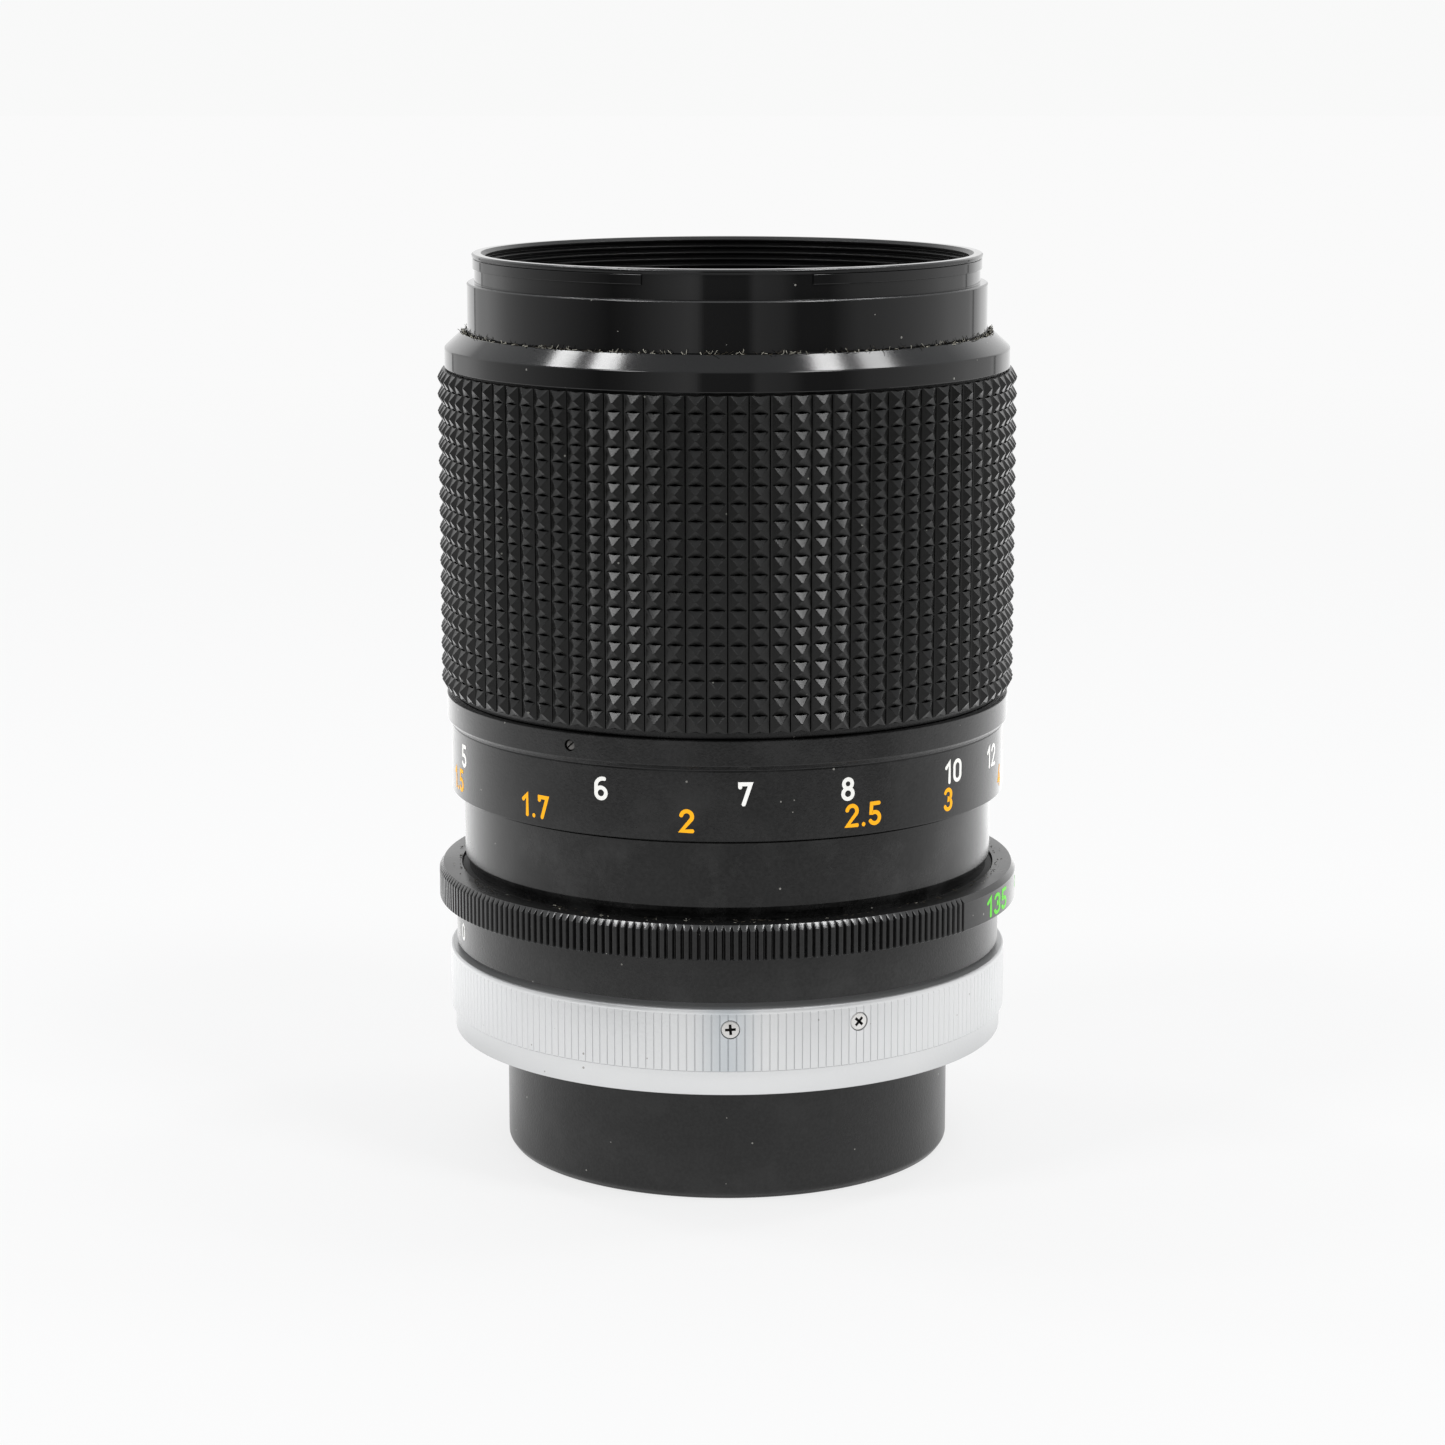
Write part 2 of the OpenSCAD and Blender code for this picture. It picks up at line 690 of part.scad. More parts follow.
module front_barrel() {
    lug_z = rim_z - rim_band_h - lug_ring_h;
    groove_z = lug_z - lug_groove_h;
    rows = floor((rim_z - rim_chamfer - thread_z) / filter_pitch);
    crest_top_z = rim_z - rim_chamfer - thread_depth;
    thread_root_r = filter_minor_r + thread_depth;
    color(gloss_black) difference() {
        lathe(concat([[carrier_r[1], tube_flange_z[0]], [tube_flange_r, tube_flange_z[0]],
            [tube_flange_r, tube_flange_z[1]], [front_tube_r, tube_flange_z[1]],
            [front_tube_r, groove_z - tube_edge], [front_tube_r - tube_edge, groove_z],
            [lug_groove_r, groove_z], [lug_groove_r, rim_z - rim_band_h],
            [rim_band_r, rim_z - rim_band_h], [rim_band_r, rim_z],
            [thread_root_r + rim_chamfer, rim_z]],
            [for (i = [0 : rows - 1]) for (p = [
                [filter_minor_r, crest_top_z - (i + thread_crest[0]) * filter_pitch],
                [filter_minor_r, crest_top_z - (i + thread_crest[1]) * filter_pitch],
                [thread_root_r, crest_top_z - (i + thread_root) * filter_pitch]]) p],
            [[thread_root_r, thread_relief_z], [tube_bore_r, thread_relief_z],
            [tube_bore_r, tube_socket_z], [carrier_r[1], tube_socket_z]]));
        sector(stop_channel_r, tube_flange_r + eps, stop_screw_angle - stop_spare,
            stop_screw_angle + focus_turn / 2, stop_channel_z[0], stop_channel_z[1]);
        sector(stop_channel_r, tube_flange_r + eps, stop_screw_angle + focus_turn / 2 - 1,
            stop_screw_angle + focus_turn + stop_spare, stop_channel_z[0], stop_channel_z[1]);
    }
    color(gloss_black) difference() {
        tube(lug_groove_r, lug_ring_r, lug_z, rim_z - rim_band_h);
        for (a = lug_gap_angles) wedge(a - lug_gap_arc / 2, a + lug_gap_arc / 2, 40, lug_z - eps,
            rim_z);
    }
}

module name_ring() {
    color(satin_black) lathe([[name_outer_r, name_wall_z], [name_outer_r, name_top_z],
        [name_top_r, name_top_z], [name_inner_r, name_step_z], [name_inner_r, name_bottom_z],
        [name_wall_r, name_bottom_z]]);
}

module front_cell() {
    color(satin_black) lathe([[third_bore_r, cell_foot_z], [cell_foot_r, cell_foot_z],
        [cell_foot_r, cell_waist_z], [cell_waist_r, cell_waist_z], [cell_waist_r, cell_body_z],
        [cell_body_r, cell_body_z], [cell_body_r, carrier_seat_z], [cell_flange_r, carrier_seat_z],
        [cell_flange_r, carrier_z[1]], [cell_collar_r, carrier_z[1]],
        [cell_collar_r, cell_collar_z], [front_bore_r, cell_collar_z],
        [front_bore_r, front_glass_z[0]], [spacer_bore_r, front_glass_z[0]],
        [spacer_bore_r, second_seat_z], [second_seat_r, second_seat_z],
        [waist_bore_r, waist_bore_z + 1], [waist_bore_r, waist_bore_z],
        [third_bore_r, waist_bore_z]]);
}

module front_element() {
    color(glass_tint) intersection() {
        translate([0, 0, front_glass_z[0]]) cylinder(r = front_glass_r,
            h = front_glass_z[1] - front_glass_z[0] + eps);
        translate([0, 0, front_glass_z[1] - front_curve]) sphere(r = front_curve, $fn = 360);
    }
}

module element_spacer() {
    color(satin_black) tube(spacer_r[0], spacer_r[1], spacer_z[0], spacer_z[1]);
}

module second_element() {
    color(glass_tint) difference() {
        intersection() {
            translate([0, 0, second_seat_z]) cylinder(r = second_glass_r, h = 10);
            translate([0, 0, second_glass_z[1] - second_curve]) sphere(r = second_curve, $fn = 360);
        }
        translate([0, 0, second_glass_z[0] - second_back_curve]) sphere(r = second_back_curve,
            $fn = 360);
    }
}

module front_retainer() {
    color(satin_black) tube(front_retainer_r[0], front_retainer_r[1], front_retainer_z[0],
        front_retainer_z[1]);
}

module third_element() {
    color(glass_tint) difference() {
        translate([0, 0, third_glass_z[0]]) cylinder(r = third_glass_r,
            h = third_glass_z[1] - third_glass_z[0]);
        translate([0, 0, third_front_z + third_front_curve]) sphere(r = third_front_curve,
            $fn = 360);
        translate([0, 0, third_back_z - third_back_curve]) sphere(r = third_back_curve, $fn = 360);
    }
}

module third_retainer() {
    color(satin_black) tube(third_retainer_r[0], third_retainer_r[1], third_retainer_z[0],
        third_retainer_z[1]);
}

module iris_housing() {
    color(satin_black) difference() {
        union() {
            tube(iris_hole_r, iris_wall_r[1], iris_floor_z[0], iris_floor_z[1]);
            tube(iris_wall_r[0], iris_wall_r[1], iris_floor_z[0], iris_wall_top_z);
        }
        for (i = [0 : blade_count - 1]) rotate([0, 0, i * 360 / blade_count])
            translate([blade_pivot_r, 0, iris_floor_z[0] - eps])
                cylinder(r = iris_pin_hole_r, h = 2.5, $fn = 40);
        sector(fork_window_r, iris_wall_r[0], 90 - fork_window_half,
            90 + aperture_turn + fork_window_half, iris_floor_z[0] - eps, iris_floor_z[1] + eps);
        for (a = rear_screw_angles) at_angle(a) translate([rear_screw_pcd_r, 0,
            iris_floor_z[0] - eps]) cylinder(r = rear_screw_r,
            h = rear_screw_z[2] - iris_floor_z[0] + eps, $fn = 40);
        for (a = iris_screw_angles) at_angle(a) translate([iris_screw_pcd_r, 0, iris_screw_z])
            cylinder(r = iris_screw_r, h = 5, $fn = 40);
    }
}

module iris_cover() {
    color(satin_black) difference() {
        tube(iris_cover_r, iris_wall_r[1], iris_wall_top_z, iris_wall_top_z + iris_cover_t);
        for (a = iris_screw_angles) at_angle(a) translate([iris_screw_pcd_r, 0, iris_screw_z]) {
            cylinder(r = iris_screw_r, h = 5, $fn = 40);
            translate([0, 0, iris_wall_top_z + iris_cover_t - iris_head_t - iris_screw_z])
                cylinder(r = iris_head_r, h = 5, $fn = 40);
        }
    }
}

module iris_screws() {
    color(steel) for (a = iris_screw_angles) at_angle(a)
        translate([iris_screw_pcd_r, 0, iris_screw_z]) {
            cylinder(r = iris_screw_r, h = iris_wall_top_z + iris_cover_t - iris_screw_z, $fn = 40);
            translate([0, 0, iris_wall_top_z + iris_cover_t - iris_head_t - iris_screw_z])
                cylinder(r = iris_head_r - 0.02, h = iris_head_t, $fn = 40);
        }
}

module iris_retainer() {
    color(brass) tube(iris_retainer_r, iris_wall_r[1], iris_wall_top_z + iris_cover_t,
        iris_wall_top_z + iris_cover_t + iris_retainer_h);
}

module rear_cell() {
    color(satin_black) difference() {
        lathe([[rear_cell_r[0], rear_cell_z[0]], [rear_cell_r[1], rear_cell_z[0]],
            [rear_cell_r[1], rear_cell_z[1]], [rear_flange_r, rear_cell_z[1]],
            [rear_flange_r, iris_floor_z[0]], [rear_cell_r[0], iris_floor_z[0]],
            [rear_cell_r[0], rear_seat_z[1]], [rear_seat_r, rear_seat_z[1]],
            [rear_seat_r, rear_seat_z[0]], [rear_cell_r[0], rear_seat_z[0]]]);
        for (a = rear_screw_angles) at_angle(a) translate([rear_screw_pcd_r, 0, 0]) {
            translate([0, 0, rear_screw_z[0]]) cylinder(r = rear_screw_r, h = 2, $fn = 40);
            translate([0, 0, rear_screw_z[0] - eps]) cylinder(r = rear_head_r + fit,
                h = rear_screw_z[1] - rear_screw_z[0] + eps, $fn = 40);
        }
    }
}

module rear_cell_screws() {
    color(steel) for (a = rear_screw_angles) at_angle(a) translate([rear_screw_pcd_r, 0, 0]) {
        translate([0, 0, rear_screw_z[0]]) cylinder(r = rear_head_r,
            h = rear_screw_z[1] - rear_screw_z[0], $fn = 40);
        translate([0, 0, rear_screw_z[0]]) cylinder(r = rear_screw_r,
            h = rear_screw_z[2] - rear_screw_z[0], $fn = 40);
    }
}

module rear_element() {
    color(glass_tint) intersection() {
        translate([0, 0, rear_glass_z[0] - eps]) cylinder(r = rear_glass_r, h = 6);
        translate([0, 0, rear_glass_z[1] - rear_front_curve]) sphere(r = rear_front_curve,
            $fn = 360);
        translate([0, 0, rear_glass_z[0] + rear_back_curve]) sphere(r = rear_back_curve, $fn = 360);
    }
}

module rear_retainer() {
    color(satin_black) tube(rear_retainer_r[0], rear_retainer_r[1], rear_retainer_z[0],
        rear_retainer_z[1]);
}

module focus_ring() {
    color(satin_black) difference() {
        lathe([[focus_bore_r, focus_z[0]], [focus_core_r, focus_z[0]],
            [focus_core_r, scale_z[1]], [focus_neck_r, scale_z[1]], [focus_neck_r, grip_z[0]],
            [focus_seat_r, grip_z[0]], [focus_seat_r, focus_z[1]], [focus_recess_r, focus_z[1]],
            [focus_recess_r, focus_recess_z], [focus_bore_r, focus_recess_z]]);
        for (a = grub_angles) at_angle(a) radial_pin(grub_r, grub_x[0], focus_core_r + eps, grub_z);
        at_angle(stop_screw_angle) radial_pin(stop_screw_r, stop_screw_x[0], focus_seat_r + eps,
            stop_screw_z);
    }
}

module bezel_ring() {
    color(gloss_black) lathe([[bezel_bore_r, bezel_tongue_z], [bezel_tongue_r, bezel_tongue_z],
        [bezel_tongue_r, bezel_z[0]], [bezel_groove_r, bezel_z[0]],
        [bezel_groove_r, bezel_groove_z], [bezel_r, bezel_groove_z], [bezel_r, bezel_chamfer_z],
        [bezel_top_r, bezel_z[1]], [bezel_bore_r, bezel_z[1]]]);
}

module grip_rubber() {
    pitch = (grip_z[1] - grip_z[0]) / grip_rows;
    color(rubber_black) lathe(concat([[focus_seat_r, grip_z[0]]],
        [for (i = [0 : grip_rows - 1]) for (p = [[grip_valley_r, grip_z[0] + i * pitch],
            [grip_r, grip_z[0] + (i + 0.5) * pitch]]) p],
        [[grip_valley_r, grip_z[1]], [focus_seat_r, grip_z[1]]]));
}

module distance_ring() {
    color(satin_black) difference() {
        lathe([[scale_lip_r, scale_z[0]], [scale_r - scale_edge, scale_z[0]],
            [scale_r, scale_z[0] + scale_edge], [scale_r, scale_step_z[0]],
            [scale_flange_r, scale_step_z[1]], [scale_flange_r, scale_z[1]],
            [scale_bore_r, scale_z[1]], [scale_bore_r, scale_lip_z], [scale_lip_r, scale_lip_z]]);
        for (a = grub_angles) at_angle(a) radial_pin(grub_r, scale_bore_r - eps,
            scale_flange_r + eps, grub_z);
    }
}

module grub_screws() {
    color(steel) for (a = grub_angles) at_angle(a) difference() {
        radial_pin(grub_r, grub_x[0], grub_x[1], grub_z);
        translate([grub_x[1] - grub_slot_depth, 0, grub_z]) rotate([grub_twist, 0, 0])
            translate([0, -grub_slot_w / 2, -1]) cube([1, grub_slot_w, 2]);
    }
}

module focus_stop_screw() {
    color(steel) at_angle(stop_screw_angle) radial_pin(stop_screw_r, stop_screw_x[0],
        stop_screw_x[1], stop_screw_z);
}

module cam_slot() {
    a_end = aperture_turn + cam_over;
    step = (a_end + cam_over) / cam_steps;
    angles = [for (i = [0 : cam_steps]) -cam_over + i * step];
    translate([0, 0, cam_z[0] - eps]) linear_extrude(height = 3)
        polygon(concat([for (a = angles) cam_point(a) + cam_normal(a) * iris_pin_hole_r],
            [for (i = [0 : cam_steps]) cam_point(angles[cam_steps - i])
                - cam_normal(angles[cam_steps - i]) * iris_pin_hole_r]));
}

module iris_cam_ring() {
    color(brass) difference() {
        union() {
            tube(cam_r[0], cam_r[1], cam_z[0], cam_z[1]);
            translate([prong_x[0], -fork_w / 2, fork_z[0]]) cube([prong_x[1] - prong_x[0], fork_w,
                cam_z[1] - fork_z[0]]);
        }
        translate([prong_x[0] - eps, -fork_gap / 2, fork_z[0] - eps])
            cube([prong_x[1] - prong_x[0] + 2 * eps, fork_gap, fork_z[1] - fork_z[0] + eps]);
        for (i = [0 : blade_count - 1]) rotate([0, 0, i * 360 / blade_count]) cam_slot();
    }
}

module iris_blade(i) {
    z = blade_z + i * blade_step;
    pin = polar(blade_pin_pos[0], blade_pin_pos[1]);
    bulge = polar(blade_bulge_pos[0], blade_bulge_pos[1]);
    tail = [pin[0] - blade_pivot_r, pin[1]];
    color(blade_grey) rotate([0, 0, i * 360 / blade_count]) {
        difference() {
            union() {
                sector(blade_inner_r, blade_outer_r, 90 + blade_arc[0], 90 + blade_arc[1], z,
                    z + blade_t);
                translate([bulge[0], bulge[1], z]) cylinder(r = blade_bulge_r, h = blade_t);
                translate([blade_pivot_r, 0, z]) cylinder(r = blade_ear_r, h = blade_t, $fn = 40);
                translate([pin[0], pin[1], z]) cylinder(r = blade_tail_r, h = blade_t, $fn = 40);
                translate([blade_outer_r - 1, -blade_ear_r, z]) cube([blade_pivot_r - blade_outer_r
                    + 1, 2 * blade_ear_r, blade_t]);
                translate([blade_pivot_r, 0, z]) rotate([0, 0, atan2(tail[1], tail[0])])
                    translate([0, -blade_tail_r, 0]) cube([norm(tail), 2 * blade_tail_r, blade_t]);
            }
            translate([0, 0, z - eps]) cylinder(r = blade_inner_r, h = 2);
        }
        translate([blade_pivot_r, 0, iris_pin_bottom_z]) cylinder(r = iris_pin_r,
            h = z + blade_t - iris_pin_bottom_z, $fn = 40);
        translate([pin[0], pin[1], z]) cylinder(r = iris_pin_r, h = cam_z[1] - z, $fn = 40);
    }
}

module iris_blade_1() {
    iris_blade(0);
}

module iris_blade_2() {
    iris_blade(1);
}

module iris_blade_3() {
    iris_blade(2);
}

module iris_blade_4() {
    iris_blade(3);
}

module iris_blade_5() {
    iris_blade(4);
}

module iris_blade_6() {
    iris_blade(5);
}

mount_base();
mount_screws();
rear_barrel();
barrel_sleeve();
guide_keys();
key_screws();
aperture_retainer();
click_ball();
click_plunger();
click_spring();
rear_baffle();
stop_down_lever();
breech_ring();
breech_stop_plate();
breech_screws();
rear_cap();
aperture_ring();
link_screws();
aperture_lever_ring();
lock_button();
carrier_tube();
front_barrel();
name_ring();
front_cell();
front_element();
element_spacer();
second_element();
front_retainer();
third_element();
third_retainer();
iris_housing();
iris_cover();
iris_screws();
iris_retainer();
rear_cell();
rear_cell_screws();
rear_element();
rear_retainer();
focus_ring();
bezel_ring();
grip_rubber();
distance_ring();
grub_screws();
focus_stop_screw();
iris_cam_ring();
iris_blade_1();
iris_blade_2();
iris_blade_3();
iris_blade_4();
iris_blade_5();
iris_blade_6();
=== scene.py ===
import math
import random

import bmesh
import bpy
from mathutils import Matrix, Vector


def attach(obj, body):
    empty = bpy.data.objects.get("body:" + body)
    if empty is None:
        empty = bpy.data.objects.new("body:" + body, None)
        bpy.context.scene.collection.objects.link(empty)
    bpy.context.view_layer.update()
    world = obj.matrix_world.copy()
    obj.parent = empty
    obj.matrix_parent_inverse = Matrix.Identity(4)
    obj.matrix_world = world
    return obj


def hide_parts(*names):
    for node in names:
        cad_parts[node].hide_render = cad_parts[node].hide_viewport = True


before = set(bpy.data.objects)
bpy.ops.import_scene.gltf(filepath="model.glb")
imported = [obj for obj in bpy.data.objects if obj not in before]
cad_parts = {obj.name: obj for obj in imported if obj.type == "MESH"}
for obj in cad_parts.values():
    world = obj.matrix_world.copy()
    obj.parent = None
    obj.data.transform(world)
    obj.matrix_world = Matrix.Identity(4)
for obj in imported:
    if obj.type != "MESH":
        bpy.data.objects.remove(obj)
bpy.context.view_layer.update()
rng = random.Random(135)

# ---------------------------------------------------------------- sizes, in millimetres
MM = 0.001
FLOOR_Z = -17.34
FINE = 384              # segments of a turned piece

GRIP_COLUMNS = 90
GRIP_ROWS = 19
GRIP_Z = (36.53, 72.39)
GRIP_PEAK = 32.6
GRIP_SEAT = 31.3

KNURL_COUNT = 234
KNURL_ARC = (172.0, 412.7)
KNURL_R = 33.17
KNURL_DEPTH = 0.42

BREECH_COUNT = 223
BREECH_R = 32.0
BREECH_DEPTH = 0.12

SCALE_R = 31.55
SLEEVE_R = 30.17
INDEX_ANGLE = 149.6     # where the index line is, counted from -Y towards +X
GRUB_ANGLES = (-32, 88, 208)
GRUB_Z = 34.3
GRUB_HEAD_R = 0.56
BREECH_SCREWS = ((0.6, 4), (26.6, 47))      # angle on the ring and twist of the cross
BREECH_SCREW_Z = 4.0
BREECH_HEAD_R = 0.97


# ---------------------------------------------------------------- mesh helpers
def around(r, angle, z):
    a = math.radians(angle)
    return (r * math.sin(a), -r * math.cos(a), z)


def add_object(name, verts, faces, body, material, nodes=(), sharp=32.0):
    mesh = bpy.data.meshes.new(name)
    mesh.from_pydata([(x * MM, y * MM, z * MM) for x, y, z in verts], [], faces)
    mesh.validate()
    work = bmesh.new()
    work.from_mesh(mesh)
    bmesh.ops.recalc_face_normals(work, faces=work.faces)
    work.to_mesh(mesh)
    work.free()
    mesh.materials.append(material)
    for p in mesh.polygons:
        p.use_smooth = True
    mesh.set_sharp_from_angle(angle=math.radians(sharp))
    obj = bpy.data.objects.new(name, mesh)
    bpy.context.scene.collection.objects.link(obj)
    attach(obj, body)
    if nodes:
        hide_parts(*nodes)
    return obj


def softened(profile, size, steps=3):
    """The closed outline with each real corner rounded off."""
    out = []
    n = len(profile)
    for i in range(n):
        a, b, c = profile[i - 1], profile[i], profile[(i + 1) % n]
        d1 = (b[0] - a[0], b[1] - a[1])
        d2 = (c[0] - b[0], c[1] - b[1])
        l1 = math.hypot(*d1)
        l2 = math.hypot(*d2)
        turn = abs(math.atan2(d1[0] * d2[1] - d1[1] * d2[0], d1[0] * d2[0] + d1[1] * d2[1]))
        if turn < math.radians(12) or b[0] <= 0.01:
            out.append(b)
            continue
        t = min(size, 0.42 * l1, 0.42 * l2)
        p0 = (b[0] - d1[0] / l1 * t, b[1] - d1[1] / l1 * t)
        p2 = (b[0] + d2[0] / l2 * t, b[1] + d2[1] / l2 * t)
        keep = t + 0.06 * t
        out.append((b[0] - d1[0] / l1 * keep, b[1] - d1[1] / l1 * keep))
        for k in range(steps + 1):
            u = k / steps
            out.append(tuple((1 - u) ** 2 * p0[j] + 2 * u * (1 - u) * b[j] + u * u * p2[j]
                             for j in (0, 1)))
        out.append((b[0] + d2[0] / l2 * keep, b[1] + d2[1] / l2 * keep))
    return out


def loft(name, columns, body, material, nodes=(), closed=True, sharp=32.0):
    """A solid from columns of (radius, height) outlines, each at its own angle."""
    verts, index = [], []
    for angle, outline in columns:
        row = []
        for r, z in outline:
            if r < 0.001 and index:
                row.append(index[0][len(row)])
                continue
            verts.append(around(r, angle, z))
            row.append(len(verts) - 1)
        index.append(row)
    faces = []
    n, m = len(columns), len(columns[0][1])
    for i in range(n if closed else n - 1):
        a, b = index[i], index[(i + 1) % n]
        for j in range(m):
            k = (j + 1) % m
            quad = []
            for v in (a[j], b[j], b[k], a[k]):
                if v not in quad:
                    quad.append(v)
            if len(quad) > 2:
                faces.append(quad)
    if not closed:
        faces.append(index[0])
        faces.append(index[-1][::-1])
    return add_object(name, verts, faces, body, material, nodes, sharp)


def lathe(name, profile, body, material, nodes=(), soft=0.0):
    outline = softened(profile, soft) if soft else profile
    columns = [(360.0 * i / FINE, outline) for i in range(FINE)]
    return loft(name, columns, body, material, nodes)


def arc_piece(name, profile, a0, a1, body, material, step=1.0, soft=0.0):
    outline = softened(profile, soft) if soft else profile
    count = max(2, int(abs(a1 - a0) / step))
    columns = [(a0 + (a1 - a0) * i / count, outline) for i in range(count + 1)]
    return loft(name, columns, body, material, closed=False)


# ---------------------------------------------------------------- materials
def feed(node, inputs):
    """Sets each input to a value, or links it where a socket is given."""
    for key, value in inputs.items():
        if isinstance(value, bpy.types.NodeSocket):
            node.id_data.links.new(value, node.inputs[key])
        else:
            node.inputs[key].default_value = value
    return node


def add(tree, kind, inputs=None, **settings):
    node = tree.nodes.new("ShaderNode" + kind)
    for key, value in settings.items():
        setattr(node, key, value)
    return feed(node, inputs or {})


def noise(tree, vector, scale, detail, roughness=0.5):
    return add(tree, "TexNoise", {"Vector": vector, "Scale": scale, "Detail": detail,
                                  "Roughness": roughness}).outputs["Fac"]


def ranged(tree, value, start=0.0, end=1.0, low=0.0, high=1.0, smooth=False):
    """Maps start..end to low..high and holds both ends."""
    return add(tree, "MapRange",
               {"Value": value, "From Min": start, "From Max": end, "To Min": low, "To Max": high},
               interpolation_type="SMOOTHSTEP" if smooth else "LINEAR").outputs["Result"]


def calc(tree, operation, *values):
    return add(tree, "Math", dict(enumerate(values)), operation=operation).outputs["Value"]


def blend(tree, factor, a, b):
    """A mix of two plain values."""
    return add(tree, "Mix", {"Factor": factor, "A": a, "B": b}).outputs["Result"]


def mixed(tree, factor, a, b, mode="MIX"):
    """A mix of two colours, each a socket or red, green and blue."""
    a, b = (c if isinstance(c, bpy.types.NodeSocket) else (*c, 1.0) for c in (a, b))
    return add(tree, "Mix", {"Factor": factor, "A": a, "B": b}, data_type="RGBA",
               blend_type=mode).outputs["Result"]


def fill_ramp(node, stops):
    """Grey stops of a colour ramp, as (place, level) pairs."""
    elements = node.color_ramp.elements
    while len(elements) > 1:
        elements.remove(elements[-1])
    for i, (place, level) in enumerate(stops):
        element = elements[0] if i == 0 else elements.new(place)
        element.position = place
        element.color = (level, level, level, 1)


def new_material(name):
    mat = bpy.data.materials.new(name)
    mat.use_nodes = True
    tree = mat.node_tree
    return mat, tree, tree.nodes["Principled BSDF"]


# how many noise cells or specks there are in a metre, for each kind of unevenness
BROAD_SCALE = 55.0
SPECKLE_SCALE = 2600.0
SCUFF_SCALE = 420.0
FILM_SCALE = 130.0
SMEAR_SCALE = 90.0
DUST_SCALE = 700.0
DUST_SIZE = 0.10
DUST_STRENGTH = 0.75
TURNED_STRETCH = (40.0, 40.0, 9000.0)
BRUSHED_STRETCH = (5200.0, 5200.0, 60.0)
RELIEF_DEPTH = 0.00008


def surface(name, color, rough, metallic=0.0, grain=2200.0, bump=0.05, spread=0.06, turned=0.0,
            brushed=0.0, dust=0.0, dust_color=(0.42, 0.41, 0.38), scuff=0.0,
            scuff_color=(0.05, 0.05, 0.05), specular=0.5, smudge=0.0, glow=0.0, mottle=0.0,
            edge=0.0):
    """Metal, plastic or rubber with grain, uneven roughness, fine relief, dust and scuffs; edge
    paints shade towards the outlines as seen, and glow paints light as a glow of the surface's own
    colour.
    """
    mat, tree, bsdf = new_material(name)
    place = add(tree, "TexCoord").outputs["Object"]
    broad = noise(tree, place, BROAD_SCALE, 4.0)
    tone = mixed(tree, broad, [c * 0.82 for c in color], [min(1.0, c * 1.15) for c in color])
    if mottle:
        speckle = ranged(tree, noise(tree, place, SPECKLE_SCALE, 2.0), 0.35, 0.68)
        tone = mixed(tree, speckle, tone, [c + mottle for c in color])
    if dust:
        cells = add(tree, "TexVoronoi", {"Vector": place, "Scale": DUST_SCALE})
        drawn = add(tree, "SeparateColor", {"Color": cells.outputs["Color"]}).outputs["Red"]
        size = ranged(tree, drawn, 1.0 - dust, 1.0, 0.0, DUST_SIZE)
        speck = calc(tree, "LESS_THAN", cells.outputs["Distance"], size)
        tone = mixed(tree, calc(tree, "MULTIPLY", speck, DUST_STRENGTH), tone, dust_color)
    if scuff:
        worn = ranged(tree, noise(tree, place, SCUFF_SCALE, 6.0, 0.7), 0.70 - scuff * 0.1, 0.78,
                      0.0, min(1.0, scuff * 2))
        tone = mixed(tree, worn, tone, scuff_color)
    if smudge:
        film = ranged(tree, noise(tree, place, FILM_SCALE, 7.0, 0.65), 0.48, 0.85)
        tone = mixed(tree, film, tone, [smudge * 1.5 + c for c in color])
    # painted shade: the colour darkens towards grazing view, so the outlines as seen from the
    # camera look darker
    if edge:
        facing = add(tree, "LayerWeight", {"Blend": 0.5}).outputs["Facing"]
        tone = mixed(tree, facing, tone, [c * (1.0 - edge) for c in color])

    height = noise(tree, place, grain, 3.0)
    for amount, scale in ((turned, TURNED_STRETCH), (brushed, BRUSHED_STRETCH)):
        if amount:
            drawn_out = add(tree, "Mapping", {"Vector": place, "Scale": scale}).outputs["Vector"]
            height = blend(tree, amount, height, noise(tree, drawn_out, 1.0, 2.0))
    relief = add(tree, "Bump", {"Height": height, "Strength": bump, "Distance": RELIEF_DEPTH})
    feed(bsdf, {"Base Color": tone, "Metallic": metallic, "Specular IOR Level": specular,
                "Roughness": ranged(tree, broad, 0.3, 0.7, max(0.02, rough - spread),
                                    rough + spread),
                "Normal": relief.outputs["Normal"]})
    # painted light: the surface glows with its own colour, though it is no lamp
    if glow:
        feed(bsdf, {"Emission Color": tone, "Emission Strength": glow})
    return mat


def glass(name, tint, coat_tint):
    mat, tree, bsdf = new_material(name)
    smear = noise(tree, add(tree, "TexCoord").outputs["Object"], SMEAR_SCALE, 5.0)
    feed(bsdf, {"Roughness": ranged(tree, smear, high=0.012), "Base Color": (*tint, 1.0),
                "IOR": 1.5, "Transmission Weight": 1.0, "Specular Tint": (*coat_tint, 1.0)})
    return mat


def stain(mat, half_width, low_z, shade):
    """Painted reflection: a duller upright patch at the front of a turned piece, about the plane x
    = 0, where the dark camera side is mirrored.
    """
    tree = mat.node_tree
    socket = tree.nodes["Principled BSDF"].inputs["Base Color"]
    place = add(tree, "SeparateXYZ", {"Vector": add(tree, "TexCoord").outputs["Object"]})
    behind = calc(tree, "GREATER_THAN", place.outputs["Y"], 0.0)
    off = calc(tree, "ADD", calc(tree, "ABSOLUTE", place.outputs["X"]), behind)
    near = ranged(tree, off, 0.0, half_width * MM, 1.0, 0.0, smooth=True)
    above = calc(tree, "GREATER_THAN", place.outputs["Z"], low_z * MM)
    dull = mixed(tree, calc(tree, "MULTIPLY", near, above), socket.links[0].from_socket, shade,
                 "MULTIPLY")
    tree.links.new(dull, socket)


